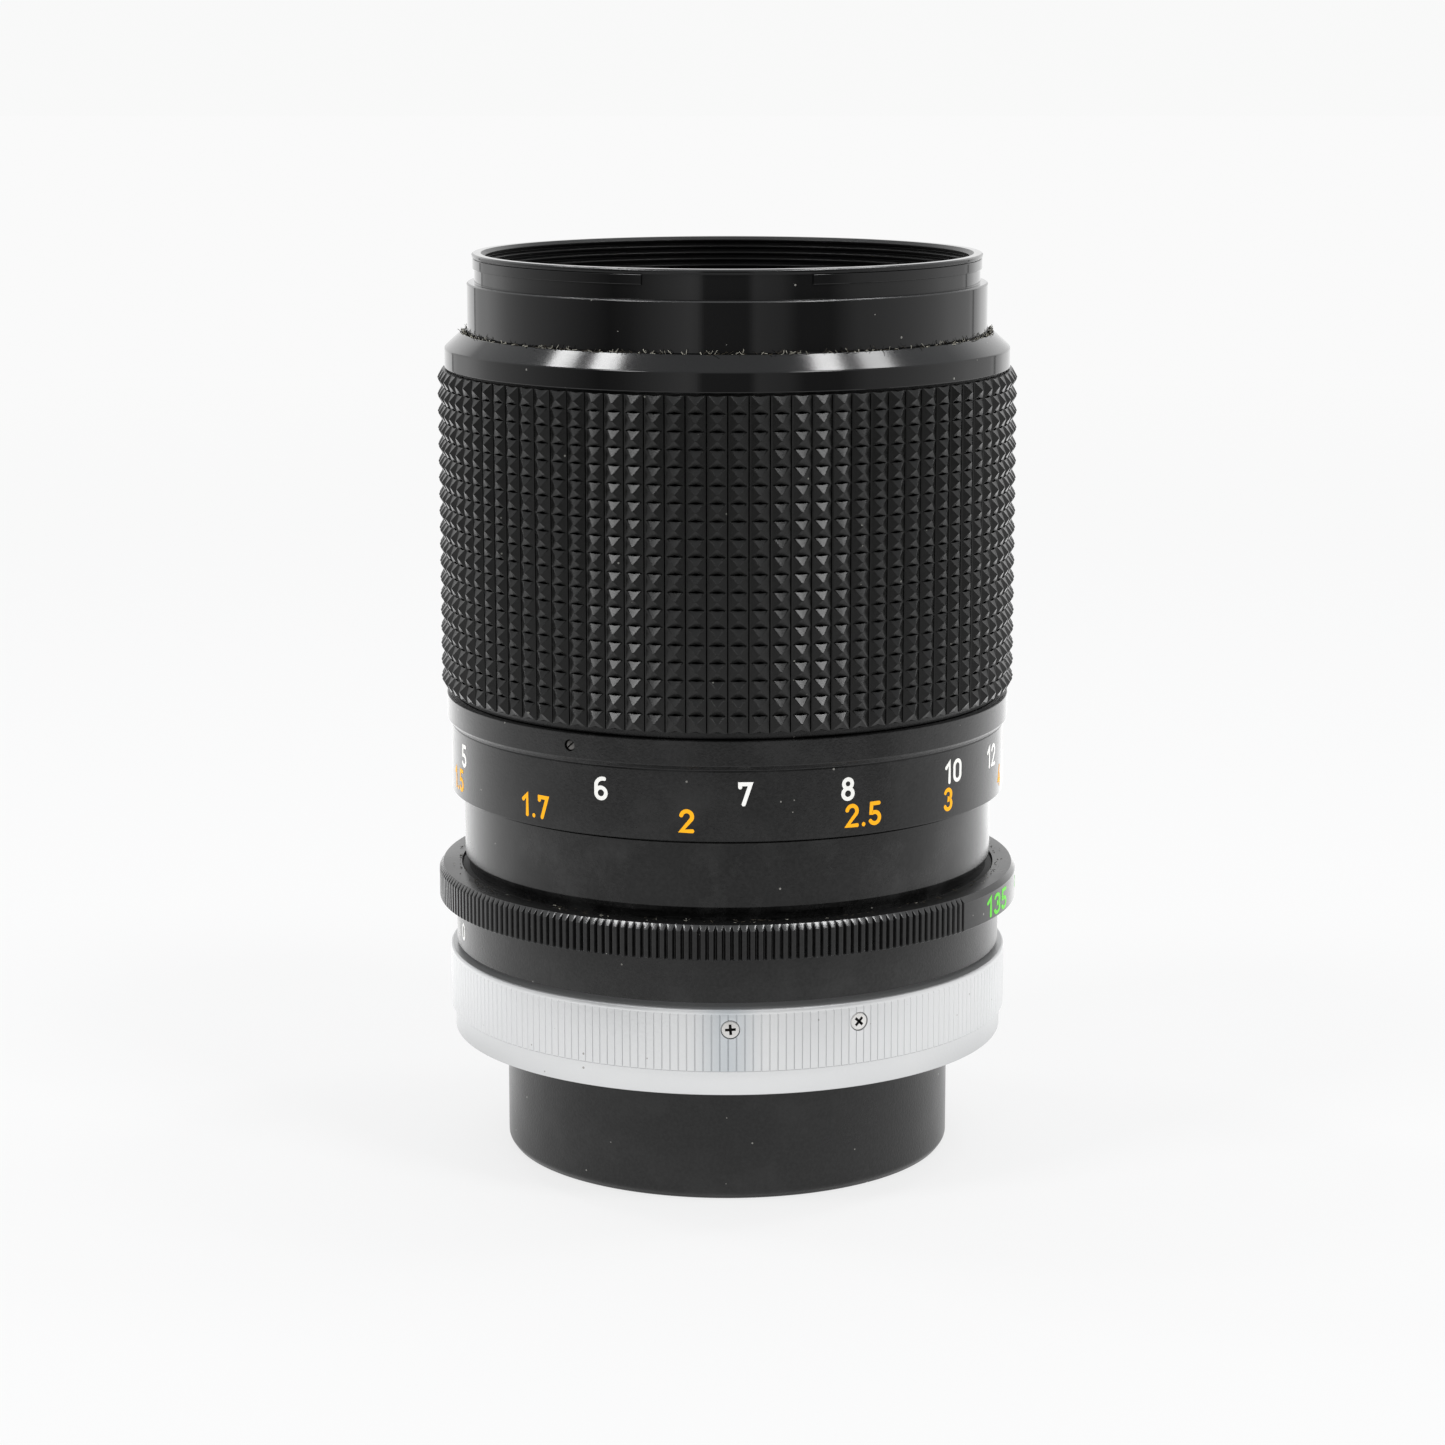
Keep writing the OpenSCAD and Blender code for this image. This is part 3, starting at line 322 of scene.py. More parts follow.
GLOSS = surface("gloss_black_anodised", (0.006, 0.006, 0.0062), 0.055, bump=0.02, spread=0.015,
                brushed=0.6, dust=0.12)
CHAMFER = surface("turned_black_chamfer", (0.006, 0.006, 0.0062), 0.14, bump=0.03, spread=0.02,
                  turned=0.4, dust=0.08)
SATIN = surface("satin_black_anodised", (0.008, 0.008, 0.0078), 0.30, bump=0.3, grain=4200.0,
                dust=0.2, smudge=0.02, specular=0.46, mottle=0.008)
SLEEVE = surface("sleeve_black_anodised", (0.002, 0.002, 0.0019), 0.25, bump=0.2, grain=4200.0,
                 dust=0.2, smudge=0.03, specular=0.42, mottle=0.009)
RING = surface("ring_black_anodised", (0.0025, 0.0025, 0.0025), 0.22, bump=0.2, grain=4200.0,
               dust=0.2, smudge=0.015, specular=0.42, mottle=0.009)
KNURL = surface("knurl_black_anodised", (0.006, 0.006, 0.006), 0.26, bump=0.04, grain=4200.0,
                dust=0.2, specular=0.45, mottle=0.006)
MATTE = surface("matte_black_inner", (0.006, 0.006, 0.006), 0.55, bump=0.2, turned=0.5)
THREAD = surface("thread_black", (0.004, 0.004, 0.004), 0.34, bump=0.1, turned=0.5, specular=0.3)
RUBBER = surface("grip_rubber", (0.0045, 0.0045, 0.0042), 0.28, bump=0.03, grain=4500.0, dust=0.16,
                 spread=0.03, dust_color=(0.30, 0.30, 0.27), specular=0.40, mottle=0.003)
CAP = surface("cap_plastic", (0.010, 0.010, 0.010), 0.33, bump=0.35, grain=3800.0, dust=0.24,
              smudge=0.015, specular=0.42, mottle=0.006)
# painted light on the chrome: edge darkens it towards its outlines as seen (painted shade), and
# glow makes it glow faintly
CHROME = surface("satin_chrome", (0.93, 0.945, 0.955), 0.36, metallic=0.85, bump=0.25,
                 grain=3200.0, spread=0.06, dust=0.30, dust_color=(0.30, 0.28, 0.25), scuff=0.12,
                 scuff_color=(0.42, 0.41, 0.40), edge=0.62, glow=0.10)
# painted highlight: a lighter, metallic copy of the black finish, put on bevels so they show bright
# highlight lines
EDGE_PAINTED_HIGHLIGHT = surface("worn_black_edge", (0.10, 0.10, 0.10), 0.24, metallic=1.0, bump=0.05, spread=0.03)
NICKEL = surface("nickel_screw", (0.86, 0.85, 0.83), 0.24, metallic=1.0, bump=0.12, turned=0.3,
                 scuff=0.2, scuff_color=(0.15, 0.14, 0.13))
# painted shade: near-black colour for the inside of screw slots and crosses, where shade falls
RECESS_PAINTED_SHADE = surface("screw_recess", (0.02, 0.018, 0.015), 0.6, bump=0.1)
DARK_STEEL = surface("dark_steel", (0.16, 0.155, 0.15), 0.34, metallic=1.0, bump=0.15)
BRASS = surface("brass", (0.62, 0.46, 0.20), 0.30, metallic=1.0, bump=0.12, turned=0.4)
BLADE = surface("blade_steel", (0.05, 0.05, 0.053), 0.38, metallic=0.6, bump=0.15, brushed=0.4)
# painted light: the paints of the numerals also glow (glow), though they are no lamps
WHITE = surface("white_paint", (0.92, 0.92, 0.86), 0.5, bump=0.25, spread=0.05, glow=0.34)
ORANGE = surface("orange_paint", (1.0, 0.43, 0.015), 0.5, bump=0.25, spread=0.05, glow=0.46,
                 specular=0.1)
GREEN = surface("green_paint", (0.15, 0.70, 0.06), 0.5, bump=0.25, spread=0.05, glow=0.26,
                specular=0.2)
LINT_LIGHT = surface("lint_light", (0.55, 0.53, 0.45), 0.9, bump=0.0)
LINT_DARK = surface("lint_dark", (0.06, 0.05, 0.035), 0.9, bump=0.0)
# painted reflection: a duller bluish patch on the camera side of the chrome
stain(CHROME, 4.6, -0.7, (0.74, 0.78, 0.81))
FRONT_GLASS = glass("coated_glass_front", (0.93, 0.95, 0.94), (0.34, 0.25, 0.42))
INNER_GLASS = glass("coated_glass_inner", (0.94, 0.96, 0.95), (0.38, 0.32, 0.22))


# ---------------------------------------------------------------- front barrel
def front_barrel():
    lug_top, lug_bottom, groove_z = 84.68, 83.55, 82.02
    thread_top, thread_bottom, pitch = 84.98, 79.9, 0.75
    outside = [(28.3, 70.2), (30.4, 70.2), (30.4, 72.0), (29.2, 72.0), (29.2, groove_z - 0.16),
               (29.05, groove_z), (28.36, groove_z + 0.02)]
    top = [(28.36, lug_top + 0.02), (28.42, lug_top + 0.04), (28.42, 84.80), (28.62, 84.84),
           (28.62, 85.10), (28.46, 85.26), (27.6, 85.26)]
    ridges = []
    z = thread_top
    while z - pitch > thread_bottom:
        ridges += [(27.1, z - 0.10 * pitch), (27.1, z - 0.30 * pitch), (27.47, z - 0.62 * pitch),
                   (27.47, z - 0.72 * pitch)]
        z -= pitch
    inside = [(27.2, thread_bottom - 0.6), (27.2, 72.6), (28.3, 72.6)]
    profile = softened(outside + top + ridges + inside, 0.05, 2)
    tube = lathe("front_barrel_tube", profile, "optical_unit", GLOSS, ("front_barrel",))
    tube.data.materials.append(THREAD)
    tube.data.materials.append(EDGE_PAINTED_HIGHLIGHT)
    # inner faces take the thread finish; bevels near the top take the painted-highlight copy of the
    # black finish
    for p in tube.data.polygons:
        if math.hypot(p.center.x, p.center.y) < 27.75 * MM and p.center.z < 85.15 * MM:
            p.material_index = 1
        elif 0.45 < p.normal.z < 0.93 and p.center.z > 81.5 * MM:
            p.material_index = 2
    lug = [(28.1, lug_bottom), (28.56, lug_bottom), (28.56, lug_top - 0.08),
           (28.48, lug_top), (28.1, lug_top + 0.02)]
    for k, centre in enumerate((60, 180, 300)):
        arc_piece(f"hood_lug_{k + 1}", lug, centre - 41.5, centre + 41.5, "optical_unit", GLOSS,
                  step=1.0, soft=0.1)


front_barrel()

# ---------------------------------------------------------------- focus ring and bezel
bezel = lathe("bezel", [(29.55, 72.1), (30.45, 72.1), (30.45, 72.45), (31.3, 72.45), (31.3, 72.62),
                        (31.8, 72.62), (31.8, 74.78), (29.85, 76.55), (29.55, 76.35)],
              "focus_ring", GLOSS, ("bezel_ring",), soft=0.14)
bezel.data.materials.append(CHAMFER)
for p in bezel.data.polygons:
    if 0.55 < p.normal.z < 0.9 and p.center.z > 74.8 * MM:
        p.material_index = 1
lathe("focus_sleeve", [(29.87, 25.2), (30.55, 25.2), (30.55, 35.7), (31.0, 35.72),
                       (31.0, 36.55), (31.28, 36.56), (31.28, 72.45), (30.5, 72.45),
                       (30.5, 69.9), (29.87, 69.9)],
      "focus_ring", RING, ("focus_ring",), soft=0.05)
scale = lathe("distance_scale", [(29.9, 24.57), (31.25, 24.57), (31.25, 24.72),
                                 (SCALE_R, 24.74), (SCALE_R, 32.26), (31.51, 32.42),
                                 (32.0, 32.97), (32.0, 35.67), (30.6, 35.67), (30.6, 25.15),
                                 (29.9, 25.15)],
              "focus_ring", RING, ("distance_ring",), soft=0.07)


def grip():
    """Rubber sleeve: columns of four-sided blocks with narrow eye-shaped pits between rows."""
    col = 360.0 / GRIP_COLUMNS
    row = (GRIP_Z[1] - GRIP_Z[0]) / GRIP_ROWS
    verts, faces = [], []

    def put(u, v, r):
        verts.append(around(r, u * col, GRIP_Z[0] + v * row))
        return len(verts) - 1

    # column groove and flat land, from the groove to the land's two edges
    land = ((0.0, 31.92), (0.05, 32.02), (0.12, 32.08), (0.94, 32.08), (0.99, 32.02))
    total = GRIP_COLUMNS * len(land)
    rings = [[put(i + u, j, r) for i in range(GRIP_COLUMNS) for u, r in land]
             for j in range(GRIP_ROWS + 1)]
    pits = []
    for j in range(GRIP_ROWS + 1):
        line = []
        for i in range(GRIP_COLUMNS):
            first, last = j == 0, j == GRIP_ROWS
            up = 0.0 if last else 1.0
            down = 0.0 if first else 1.0
            line.append({
                "high": [put(i + u, j + up * v, r) for u, v, r in
                         ((0.22, 0.015, 32.06), (0.53, 0.105, 32.10), (0.84, 0.015, 32.06))],
                "low": [put(i + u, j - down * v, r) for u, v, r in
                        ((0.22, 0.015, 32.02), (0.53, 0.06, 32.04), (0.84, 0.015, 32.02))],
                "deep": [put(i + u, j + v * up * down, r) for u, v, r in
                         ((0.30, 0.0, 31.75), (0.53, 0.0, 31.5), (0.76, 0.0, 31.75))]})
        pits.append(line)
    for j in range(GRIP_ROWS + 1):
        for i in range(GRIP_COLUMNS):
            pit = pits[j][i]
            left, right = rings[j][i * 5 + 2], rings[j][i * 5 + 3]
            hi, lo, deep = pit["high"], pit["low"], pit["deep"]
            if j < GRIP_ROWS:
                faces += [(left, deep[0], hi[0]), (hi[0], deep[0], deep[1], hi[1]),
                          (hi[1], deep[1], deep[2], hi[2]), (hi[2], deep[2], right)]
            if j > 0:
                faces += [(left, lo[0], deep[0]), (lo[0], lo[1], deep[1], deep[0]),
                          (lo[1], lo[2], deep[2], deep[1]), (lo[2], right, deep[2])]
    for j in range(GRIP_ROWS):
        low, high = rings[j], rings[j + 1]
        dips = [put(i, j + 0.5, 31.55) for i in range(GRIP_COLUMNS)]
        for i in range(GRIP_COLUMNS):
            s = i * 5
            tip = [put(i + 0.53 + du, j + 0.5 + dv, GRIP_PEAK - 0.01)
                   for du, dv in ((-0.03, -0.02), (0.03, -0.02), (0.03, 0.02), (-0.03, 0.02))]
            faces.append(tip)
            base, crown = pits[j][i]["high"], pits[j + 1][i]["low"]
            bl, br, tl, tr = low[s + 2], low[s + 3], high[s + 2], high[s + 3]
            faces += [(base[0], base[1], tip[0]), (base[1], tip[1], tip[0]),
                      (base[1], base[2], tip[1])]
            faces += [(crown[1], crown[0], tip[3]), (tip[2], crown[1], tip[3]),
                      (crown[2], crown[1], tip[2])]
            faces += [(bl, base[0], tip[0]), (bl, tip[0], tip[3], tl), (tl, tip[3], crown[0])]
            faces += [(base[2], br, tip[1]), (br, tr, tip[2], tip[1]), (tr, crown[2], tip[2])]
            for k in (1, 3):
                a, b = s + k, s + k + 1
                faces.append((low[a], low[b], high[b], high[a]))
            before, after, dip = (s - 1) % total, s + 1, dips[i]
            faces += [(low[before], low[s], dip), (low[before], dip, high[before]),
                      (dip, high[s], high[before]), (low[s], low[after], dip),
                      (low[after], high[after], dip), (dip, high[after], high[s])]
    # the two end faces and the bore
    for j, sign in ((0, 1), (GRIP_ROWS, -1)):
        seat = [put(i + u, j, GRIP_SEAT) for i in range(GRIP_COLUMNS) for u, r in land]
        for i in range(GRIP_COLUMNS):
            s = i * 5
            deep = pits[j][i]["deep"]
            for k in (0, 1, 3, 4):
                a, b = s + k, (s + k + 1) % total
                faces.append((rings[j][a], rings[j][b], seat[b], seat[a])[::sign])
            edge = [rings[j][s + 2]] + deep + [rings[j][s + 3]]
            faces.append((edge + [seat[s + 3], seat[s + 2]])[::sign])
        if j == 0:
            first_seat = seat
    for a in range(total):
        b = (a + 1) % total
        faces.append((first_seat[b], first_seat[a], seat[a], seat[b]))
    add_object("rubber_grip", verts, faces, "focus_ring", RUBBER, ("grip_rubber",),
               sharp=4.0)


grip()

# ---------------------------------------------------------------- fixed barrel
lathe("sleeve", [(28.4, 9.0), (29.77, 9.0), (29.77, 15.95), (SLEEVE_R, 17.1), (SLEEVE_R, 24.18),
                 (29.77, 24.16), (29.77, 66.0), (28.4, 66.0)], "barrel", SLEEVE,
      ("barrel_sleeve",), soft=0.04)
lathe("rear_barrel_ring", [(22.0, 6.5), (26.8, 6.5), (26.8, 6.76), (31.24, 6.76), (31.24, 11.84),
                           (29.8, 11.84), (29.8, 9.0), (22.0, 9.0)],
      "barrel", SATIN, ("rear_barrel",), soft=0.10)


def aperture_ring():
    r, depth, top, bevel, bevel_z = KNURL_R, KNURL_DEPTH, 15.8, 0.47, 0.62
    bottom = 11.94
    inner = [(30.6, 15.74), (30.6, 14.8), (29.87, 14.8), (29.87, bottom)]

    def outline(rr):
        reach = top - max(0.0, min(bevel, rr - (r - bevel))) * bevel_z / bevel
        return [(rr - 0.12, bottom), (rr, bottom + 0.12), (rr, reach - 0.04),
                (rr - 0.03, reach + 0.02), (min(rr - 0.035, r - bevel + 0.03), top - 0.02),
                (min(rr - 0.08, r - bevel - 0.05), top)] + inner

    columns = []
    pitch = 360.0 / KNURL_COUNT
    teeth = int((KNURL_ARC[1] - KNURL_ARC[0]) / pitch)
    for i in range(teeth):
        a = KNURL_ARC[0] + i * pitch
        columns += [(a, outline(r - 0.03)), (a + pitch * 0.06, outline(r)),
                    (a + pitch * 0.46, outline(r)), (a + pitch * 0.52, outline(r - 0.03)),
                    (a + pitch * 0.74, outline(r - depth)), (a + pitch * 0.78, outline(r - depth))]
    a = KNURL_ARC[0] + teeth * pitch
    while a < KNURL_ARC[0] + 360.0:
        columns.append((a, outline(r)))
        a += 1.0
    body = loft("aperture_ring_body", columns, "aperture_ring", KNURL, ("aperture_ring",),
                sharp=24.0)
    # painted highlight: the top bevel of the knurl takes the lighter, metallic copy of the black
    # finish
    body.data.materials.append(EDGE_PAINTED_HIGHLIGHT)
    for p in body.data.polygons:
        if p.center.z > (top - bevel_z - 0.05) * MM and 0.35 < p.normal.z < 0.85:
            p.material_index = 1


aperture_ring()


def breech_ring():
    r, depth = BREECH_R, BREECH_DEPTH

    def outline(rr):
        lip = 31.97
        return [(27.0, 6.24), (27.0, 1.1), (27.6, 1.1), (27.6, -3.5), (31.35, -3.5),
                (31.48, -3.44), (31.55, -3.3), (31.55, -0.80), (31.62, -0.76),
                (min(rr, 31.9), -0.76), (rr, -0.66), (rr, 5.46), (min(rr + 0.04, lip), 5.62),
                (lip, 5.70), (lip, 6.02), (31.90, 6.16), (31.75, 6.24)]

    columns = []
    pitch = 360.0 / BREECH_COUNT
    for i in range(BREECH_COUNT):
        a = i * pitch + 0.3
        columns += [(a, outline(r)), (a + pitch * 0.28, outline(r)), (a + pitch * 0.56, outline(r)),
                    (a + pitch * 0.84, outline(r)), (a + pitch * 0.89, outline(r - depth)),
                    (a + pitch * 0.95, outline(r - depth))]
    ring = loft("breech_ring_body", columns, "breech_ring", CHROME, ("breech_ring",),
                sharp=28.0)
    for angle, _ in BREECH_SCREWS:
        pocket(ring, angle, BREECH_SCREW_Z, BREECH_HEAD_R + 0.09, 31.0)
    for k in range(3):
        centre = 60 + 120 * k
        arc_piece(f"breech_lug_{k + 1}", [(25.7, -3.5), (27.7, -3.5), (27.7, -2.6), (25.7, -2.6)],
                  centre - 28, centre + 28, "breech_ring", CHROME, soft=0.1)


def pocket(obj, angle, z, radius, depth_r):
    """Cuts a round radial pocket for a screw head."""
    mesh = bpy.data.meshes.new("cutter")
    work = bmesh.new()
    bmesh.ops.create_cone(work, cap_ends=True, segments=48, radius1=radius * MM,
                          radius2=radius * MM, depth=4 * MM)
    work.to_mesh(mesh)
    work.free()
    cutter = bpy.data.objects.new("cutter", mesh)
    bpy.context.scene.collection.objects.link(cutter)
    cutter.rotation_euler = (math.radians(90), 0, math.radians(angle))
    centre = around(depth_r + 2, angle, z)
    cutter.location = [c * MM for c in centre]
    subtract(obj, cutter)


def subtract(obj, cutter):
    bpy.context.view_layer.update()
    mod = obj.modifiers.new("cut", "BOOLEAN")
    mod.operation = "DIFFERENCE"
    mod.solver = "EXACT"
    mod.object = cutter
    bpy.context.view_layer.update()
    graph = bpy.context.evaluated_depsgraph_get()
    cut = bpy.data.meshes.new_from_object(obj.evaluated_get(graph))
    obj.modifiers.clear()
    obj.data = cut
    bpy.data.objects.remove(cutter)


breech_ring()
for angle in GRUB_ANGLES:
    pocket(scale, angle, GRUB_Z, GRUB_HEAD_R + 0.08, 30.9)


def screw_head(name, angle, z, radius, face_r, body, material, cuts, sunk=0.9):
    """A round head seen end on, with a slot or a cross cut into it; cuts are (twist, length)."""
    profile = softened([(0.0, 0.0), (radius, 0.0), (radius, sunk), (0.0, sunk + 0.06)], 0.1, 3)
    mesh = bpy.data.meshes.new(name)
    work = bmesh.new()
    columns = 48
    rings = []
    for i in range(columns):
        a = 2 * math.pi * i / columns
        rings.append([work.verts.new((r * math.cos(a) * MM, r * math.sin(a) * MM, h * MM))
                      if r > 0.001 else None for r, h in profile])
    ends = {}
    for j, (r, h) in enumerate(profile):
        if r <= 0.001:
            ends[j] = work.verts.new((0, 0, h * MM))
            for line in rings:
                line[j] = ends[j]
    m = len(profile)
    for i in range(columns):
        a, b = rings[i], rings[(i + 1) % columns]
        for j in range(m - 1):
            quad = []
            for v in (a[j], b[j], b[j + 1], a[j + 1]):
                if v not in quad:
                    quad.append(v)
            if len(quad) > 2:
                work.faces.new(quad)
    bmesh.ops.recalc_face_normals(work, faces=work.faces)
    work.to_mesh(mesh)
    work.free()
    mesh.materials.append(material)
    mesh.materials.append(RECESS_PAINTED_SHADE)
    obj = bpy.data.objects.new(name, mesh)
    bpy.context.scene.collection.objects.link(obj)
    turn = math.radians(angle)
    place = around(face_r - sunk, angle, z)
    obj.location = [c * MM for c in place]
    obj.rotation_euler = (math.radians(90), 0, turn)
    for twist, long, width, depth in cuts:
        cutter_mesh = bpy.data.meshes.new("cutter")
        work = bmesh.new()
        bmesh.ops.create_cube(work, size=1.0)
        for v in work.verts:
            taper = 1.0 if v.co.z > 0 else 0.55
            v.co.x *= long * taper * MM
            v.co.y *= width * (1.0 if v.co.z > 0 else 0.7) * MM
            v.co.z = (sunk + (0.4 if v.co.z > 0 else -depth)) * MM
        work.to_mesh(cutter_mesh)
        work.free()
        # painted shade: the faces this cutter leaves inside the slot take the near-black recess
        # colour
        cutter_mesh.materials.append(RECESS_PAINTED_SHADE)
        cutter = bpy.data.objects.new("cutter", cutter_mesh)
        bpy.context.scene.collection.objects.link(cutter)
        cutter.matrix_world = (Matrix.Translation(obj.location)
                               @ obj.rotation_euler.to_matrix().to_4x4()
                               @ Matrix.Rotation(math.radians(twist), 4, "Z"))
        subtract(obj, cutter)
    for p in obj.data.polygons:
        p.use_smooth = True
    obj.data.set_sharp_from_angle(angle=math.radians(28))
    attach(obj, body)
    return obj


# arms of a cross slot: twist, length, width and depth
CROSS = ((0, 1.42, 0.34, 0.55), (90, 1.42, 0.34, 0.55))
for k, (angle, twist) in enumerate(BREECH_SCREWS):
    cuts = [(t + twist, long, width, depth) for t, long, width, depth in CROSS]
    head = screw_head(f"breech_screw_{k + 1}", angle, BREECH_SCREW_Z, BREECH_HEAD_R, 31.93,
                      "breech_ring", NICKEL, cuts)
    if k == 0:
        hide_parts("breech_screws")
for k, angle in enumerate(GRUB_ANGLES):
    head = screw_head(f"grub_screw_{k + 1}", angle, GRUB_Z, GRUB_HEAD_R, 31.80, "focus_ring",
                      DARK_STEEL, [(42, 1.6, 0.2, 0.3)], sunk=0.8)
    if k == 0:
        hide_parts("grub_screws")

# ---------------------------------------------------------------- rear cap
lathe("rear_cap_shell", [(0.0, -17.34), (24.6, -17.34), (25.0, -17.30), (25.5, -16.6),
                         (25.5, -0.15), (23.9, -0.15), (23.9, -15.44), (0.0, -15.44)],
      "rear_cap", CAP, ("rear_cap",), soft=0.25)
for k in range(3):
    arc_piece(f"cap_lug_{k + 1}", [(25.4, -2.4), (27.3, -2.4), (27.3, -0.9), (25.4, -0.9)],
              120 * k - 25, 120 * k + 25, "rear_cap", CAP, soft=0.1)

# ---------------------------------------------------------------- inside the front rim
lathe("name_ring_body", [(27.15, 77.8), (27.15, 79.7), (26.3, 79.7), (25.6, 79.05), (25.3, 79.05),
                         (24.4, 78.25), (24.1, 78.25), (23.2, 77.45), (22.9, 77.45),
                         (22.0, 76.6), (21.4, 76.2), (21.4, 74.2), (22.2, 74.2)],
      "optical_unit", MATTE, ("name_ring",), soft=0.05)


def lens_outline(edge_r, z_low, front, back, steps=28):
    """Half outline of a lens: front and back give (height on the axis, signed curve radius)."""
    points = []
    for k in range(steps + 1):
        r = edge_r * k / steps
        sag = math.copysign(abs(back[1]) - math.sqrt(back[1] ** 2 - r * r), back[1])
        points.append((r, max(back[0] + sag, z_low)))
    for k in range(steps, -1, -1):
        r = edge_r * k / steps
        sag = math.copysign(abs(front[1]) - math.sqrt(front[1] ** 2 - r * r), front[1])
        points.append((r, front[0] + sag))
    return points


lathe("front_lens", lens_outline(20.5, 67.0, (73.5, -62.0), (67.0, 4000.0)),
      "optical_unit", FRONT_GLASS, ("front_element",))
lathe("second_lens", lens_outline(19.0, 57.85, (65.4, -45.0), (59.9, -90.0)),
      "optical_unit", INNER_GLASS, ("second_element",))
lathe("third_lens", lens_outline(15.5, 48.28, (53.45, 110.0), (51.5, -32.0)),
      "optical_unit", INNER_GLASS, ("third_element",))

# ---------------------------------------------------------------- numerals
HALF = 0.084            # half the stroke width, for letters one unit high
GAP = 0.12              # space between letters


def arc_points(cx, cy, r, a0, a1, n=14):
    return [(cx + r * math.cos(math.radians(a0 + (a1 - a0) * i / n)),
             cy + r * math.sin(math.radians(a0 + (a1 - a0) * i / n))) for i in range(n + 1)]


# each glyph: its width, and its strokes as centre lines that are closed or open
GLYPHS = {
    "0": (0.62, [(arc_points(0.31, 0.69, 0.23, 0, 180) + arc_points(0.31, 0.31, 0.23, 180, 360),
                  True)]),
    "1": (0.46, [([(0.08, 0.71), (0.31, 0.922), (0.31, 0.078)], False)]),
    "2": (0.60, [(arc_points(0.30, 0.69, 0.225, 168, -30) + [(0.085, 0.085), (0.53, 0.085)],
                  False)]),
    "3": (0.58, [(arc_points(0.28, 0.70, 0.21, 155, -78) + arc_points(0.28, 0.30, 0.225, 78, -155),
                  False)]),
    "4": (0.64, [([(0.36, 0.90), (0.08, 0.29), (0.56, 0.29)], False),
                 ([(0.43, 0.50), (0.43, 0.078)], False)]),
    "5": (0.60, [([(0.49, 0.918), (0.14, 0.918), (0.115, 0.53)]
                  + arc_points(0.29, 0.315, 0.235, 118, -150), False)]),
    "6": (0.62, [(arc_points(0.40, 0.60, 0.32, 78, 168, 10)
                  + arc_points(0.31, 0.31, 0.228, 168, 528, 26), False)]),
    "7": (0.60, [([(0.085, 0.79), (0.085, 0.918), (0.515, 0.918), (0.23, 0.078)], False)]),
    "8": (0.60, [(arc_points(0.30, 0.715, 0.19, 0, 360, 22)[:-1], True),
                 (arc_points(0.30, 0.30, 0.222, 0, 360, 24)[:-1], True)]),
    "9": (0.62, [(arc_points(0.22, 0.40, 0.32, -102, -12, 10)
                  + arc_points(0.31, 0.69, 0.228, -12, 348, 26), False)]),
    ".": (0.24, [([(0.12, 0.085), (0.12, 0.10)], False)]),
    "I": (0.20, [([(0.1, 0.0), (0.1, 1.0)], False)]),
    "O": (0.80, [(arc_points(0.40, 0.5, 0.30, 0, 360, 28)[:-1], True)]),
    "~": (1.10, [(arc_points(0.30, 0.5, 0.20, 45, 315, 18)
                  + arc_points(0.80, 0.5, 0.20, -135, 135, 18), True)]),
}


def stroke(points, closed, half):
    """A ribbon along a centre line, with round ends, as 2-D vertices and faces."""
    n = len(points)
    verts, faces = [], []
    for i, p in enumerate(points):
        a = points[i - 1] if (closed or i) else p
        b = points[(i + 1) % n] if (closed or i < n - 1) else p
        d1 = (p[0] - a[0], p[1] - a[1])
        d2 = (b[0] - p[0], b[1] - p[1])
        l1, l2 = math.hypot(*d1), math.hypot(*d2)
        t1 = (d1[0] / l1, d1[1] / l1) if l1 else None
        t2 = (d2[0] / l2, d2[1] / l2) if l2 else None
        t1, t2 = t1 or t2, t2 or t1
        nx, ny = -(t1[1] + t2[1]), t1[0] + t2[0]
        size = math.hypot(nx, ny)
        nx, ny = nx / size, ny / size
        grow = 1.0 / max(0.55, abs(nx * -t1[1] + ny * t1[0]))
        verts += [(p[0] + nx * half * grow, p[1] + ny * half * grow),
                  (p[0] - nx * half * grow, p[1] - ny * half * grow)]
    for i in range(n if closed else n - 1):
        k = (i + 1) % n
        faces.append((2 * i + 1, 2 * k + 1, 2 * k, 2 * i))
    if not closed:
        for end, nxt in ((0, 1), (n - 1, n - 2)):
            p, q = points[end], points[nxt]
            base = math.atan2(p[1] - q[1], p[0] - q[0])
            fan = []
            for s in range(9):
                a = base - math.pi / 2 + math.pi * s / 8
                verts.append((p[0] + half * math.cos(a), p[1] + half * math.sin(a)))
                fan.append(len(verts) - 1)
            faces.append(fan)
    return verts, faces


def numerals(name, marks, radius, body, material, lift=0.015):
    """marks: (text, angle of its middle, height of its foot, height of the letters)."""
    verts, faces = [], []
    for text, angle, z, size, *wide in marks:
        stretch = wide[0] if wide else 1.0
        width = sum(GLYPHS[c][0] for c in text) + GAP * (len(text) - 1)
        x = -width / 2
        for c in text:
            advance, strokes = GLYPHS[c]
            for s, (points, closed) in enumerate(strokes):
                v2, f2 = stroke(points, closed, HALF)
                start = len(verts)
                r = radius + lift + 0.002 * s
                for px, py in v2:
                    a = angle + math.degrees((x + px) * stretch * size / radius)
                    verts.append(around(r, a, z + py * size))
                faces += [tuple(start + i for i in f) for f in f2]
            x += advance + GAP
    return add_object(name, verts, faces, body, material)


FOCAL = 135.0
TURN_PER_MM = 14.86         # degrees of ring turn for each millimetre of extension


def scale_angle(distance):
    """Angle of a distance mark, from the thin-lens rule; distance in millimetres."""
    image = (distance - math.sqrt(distance ** 2 - 4 * FOCAL * distance)) / 2
    return INDEX_ANGLE - TURN_PER_MM * (image - FOCAL)


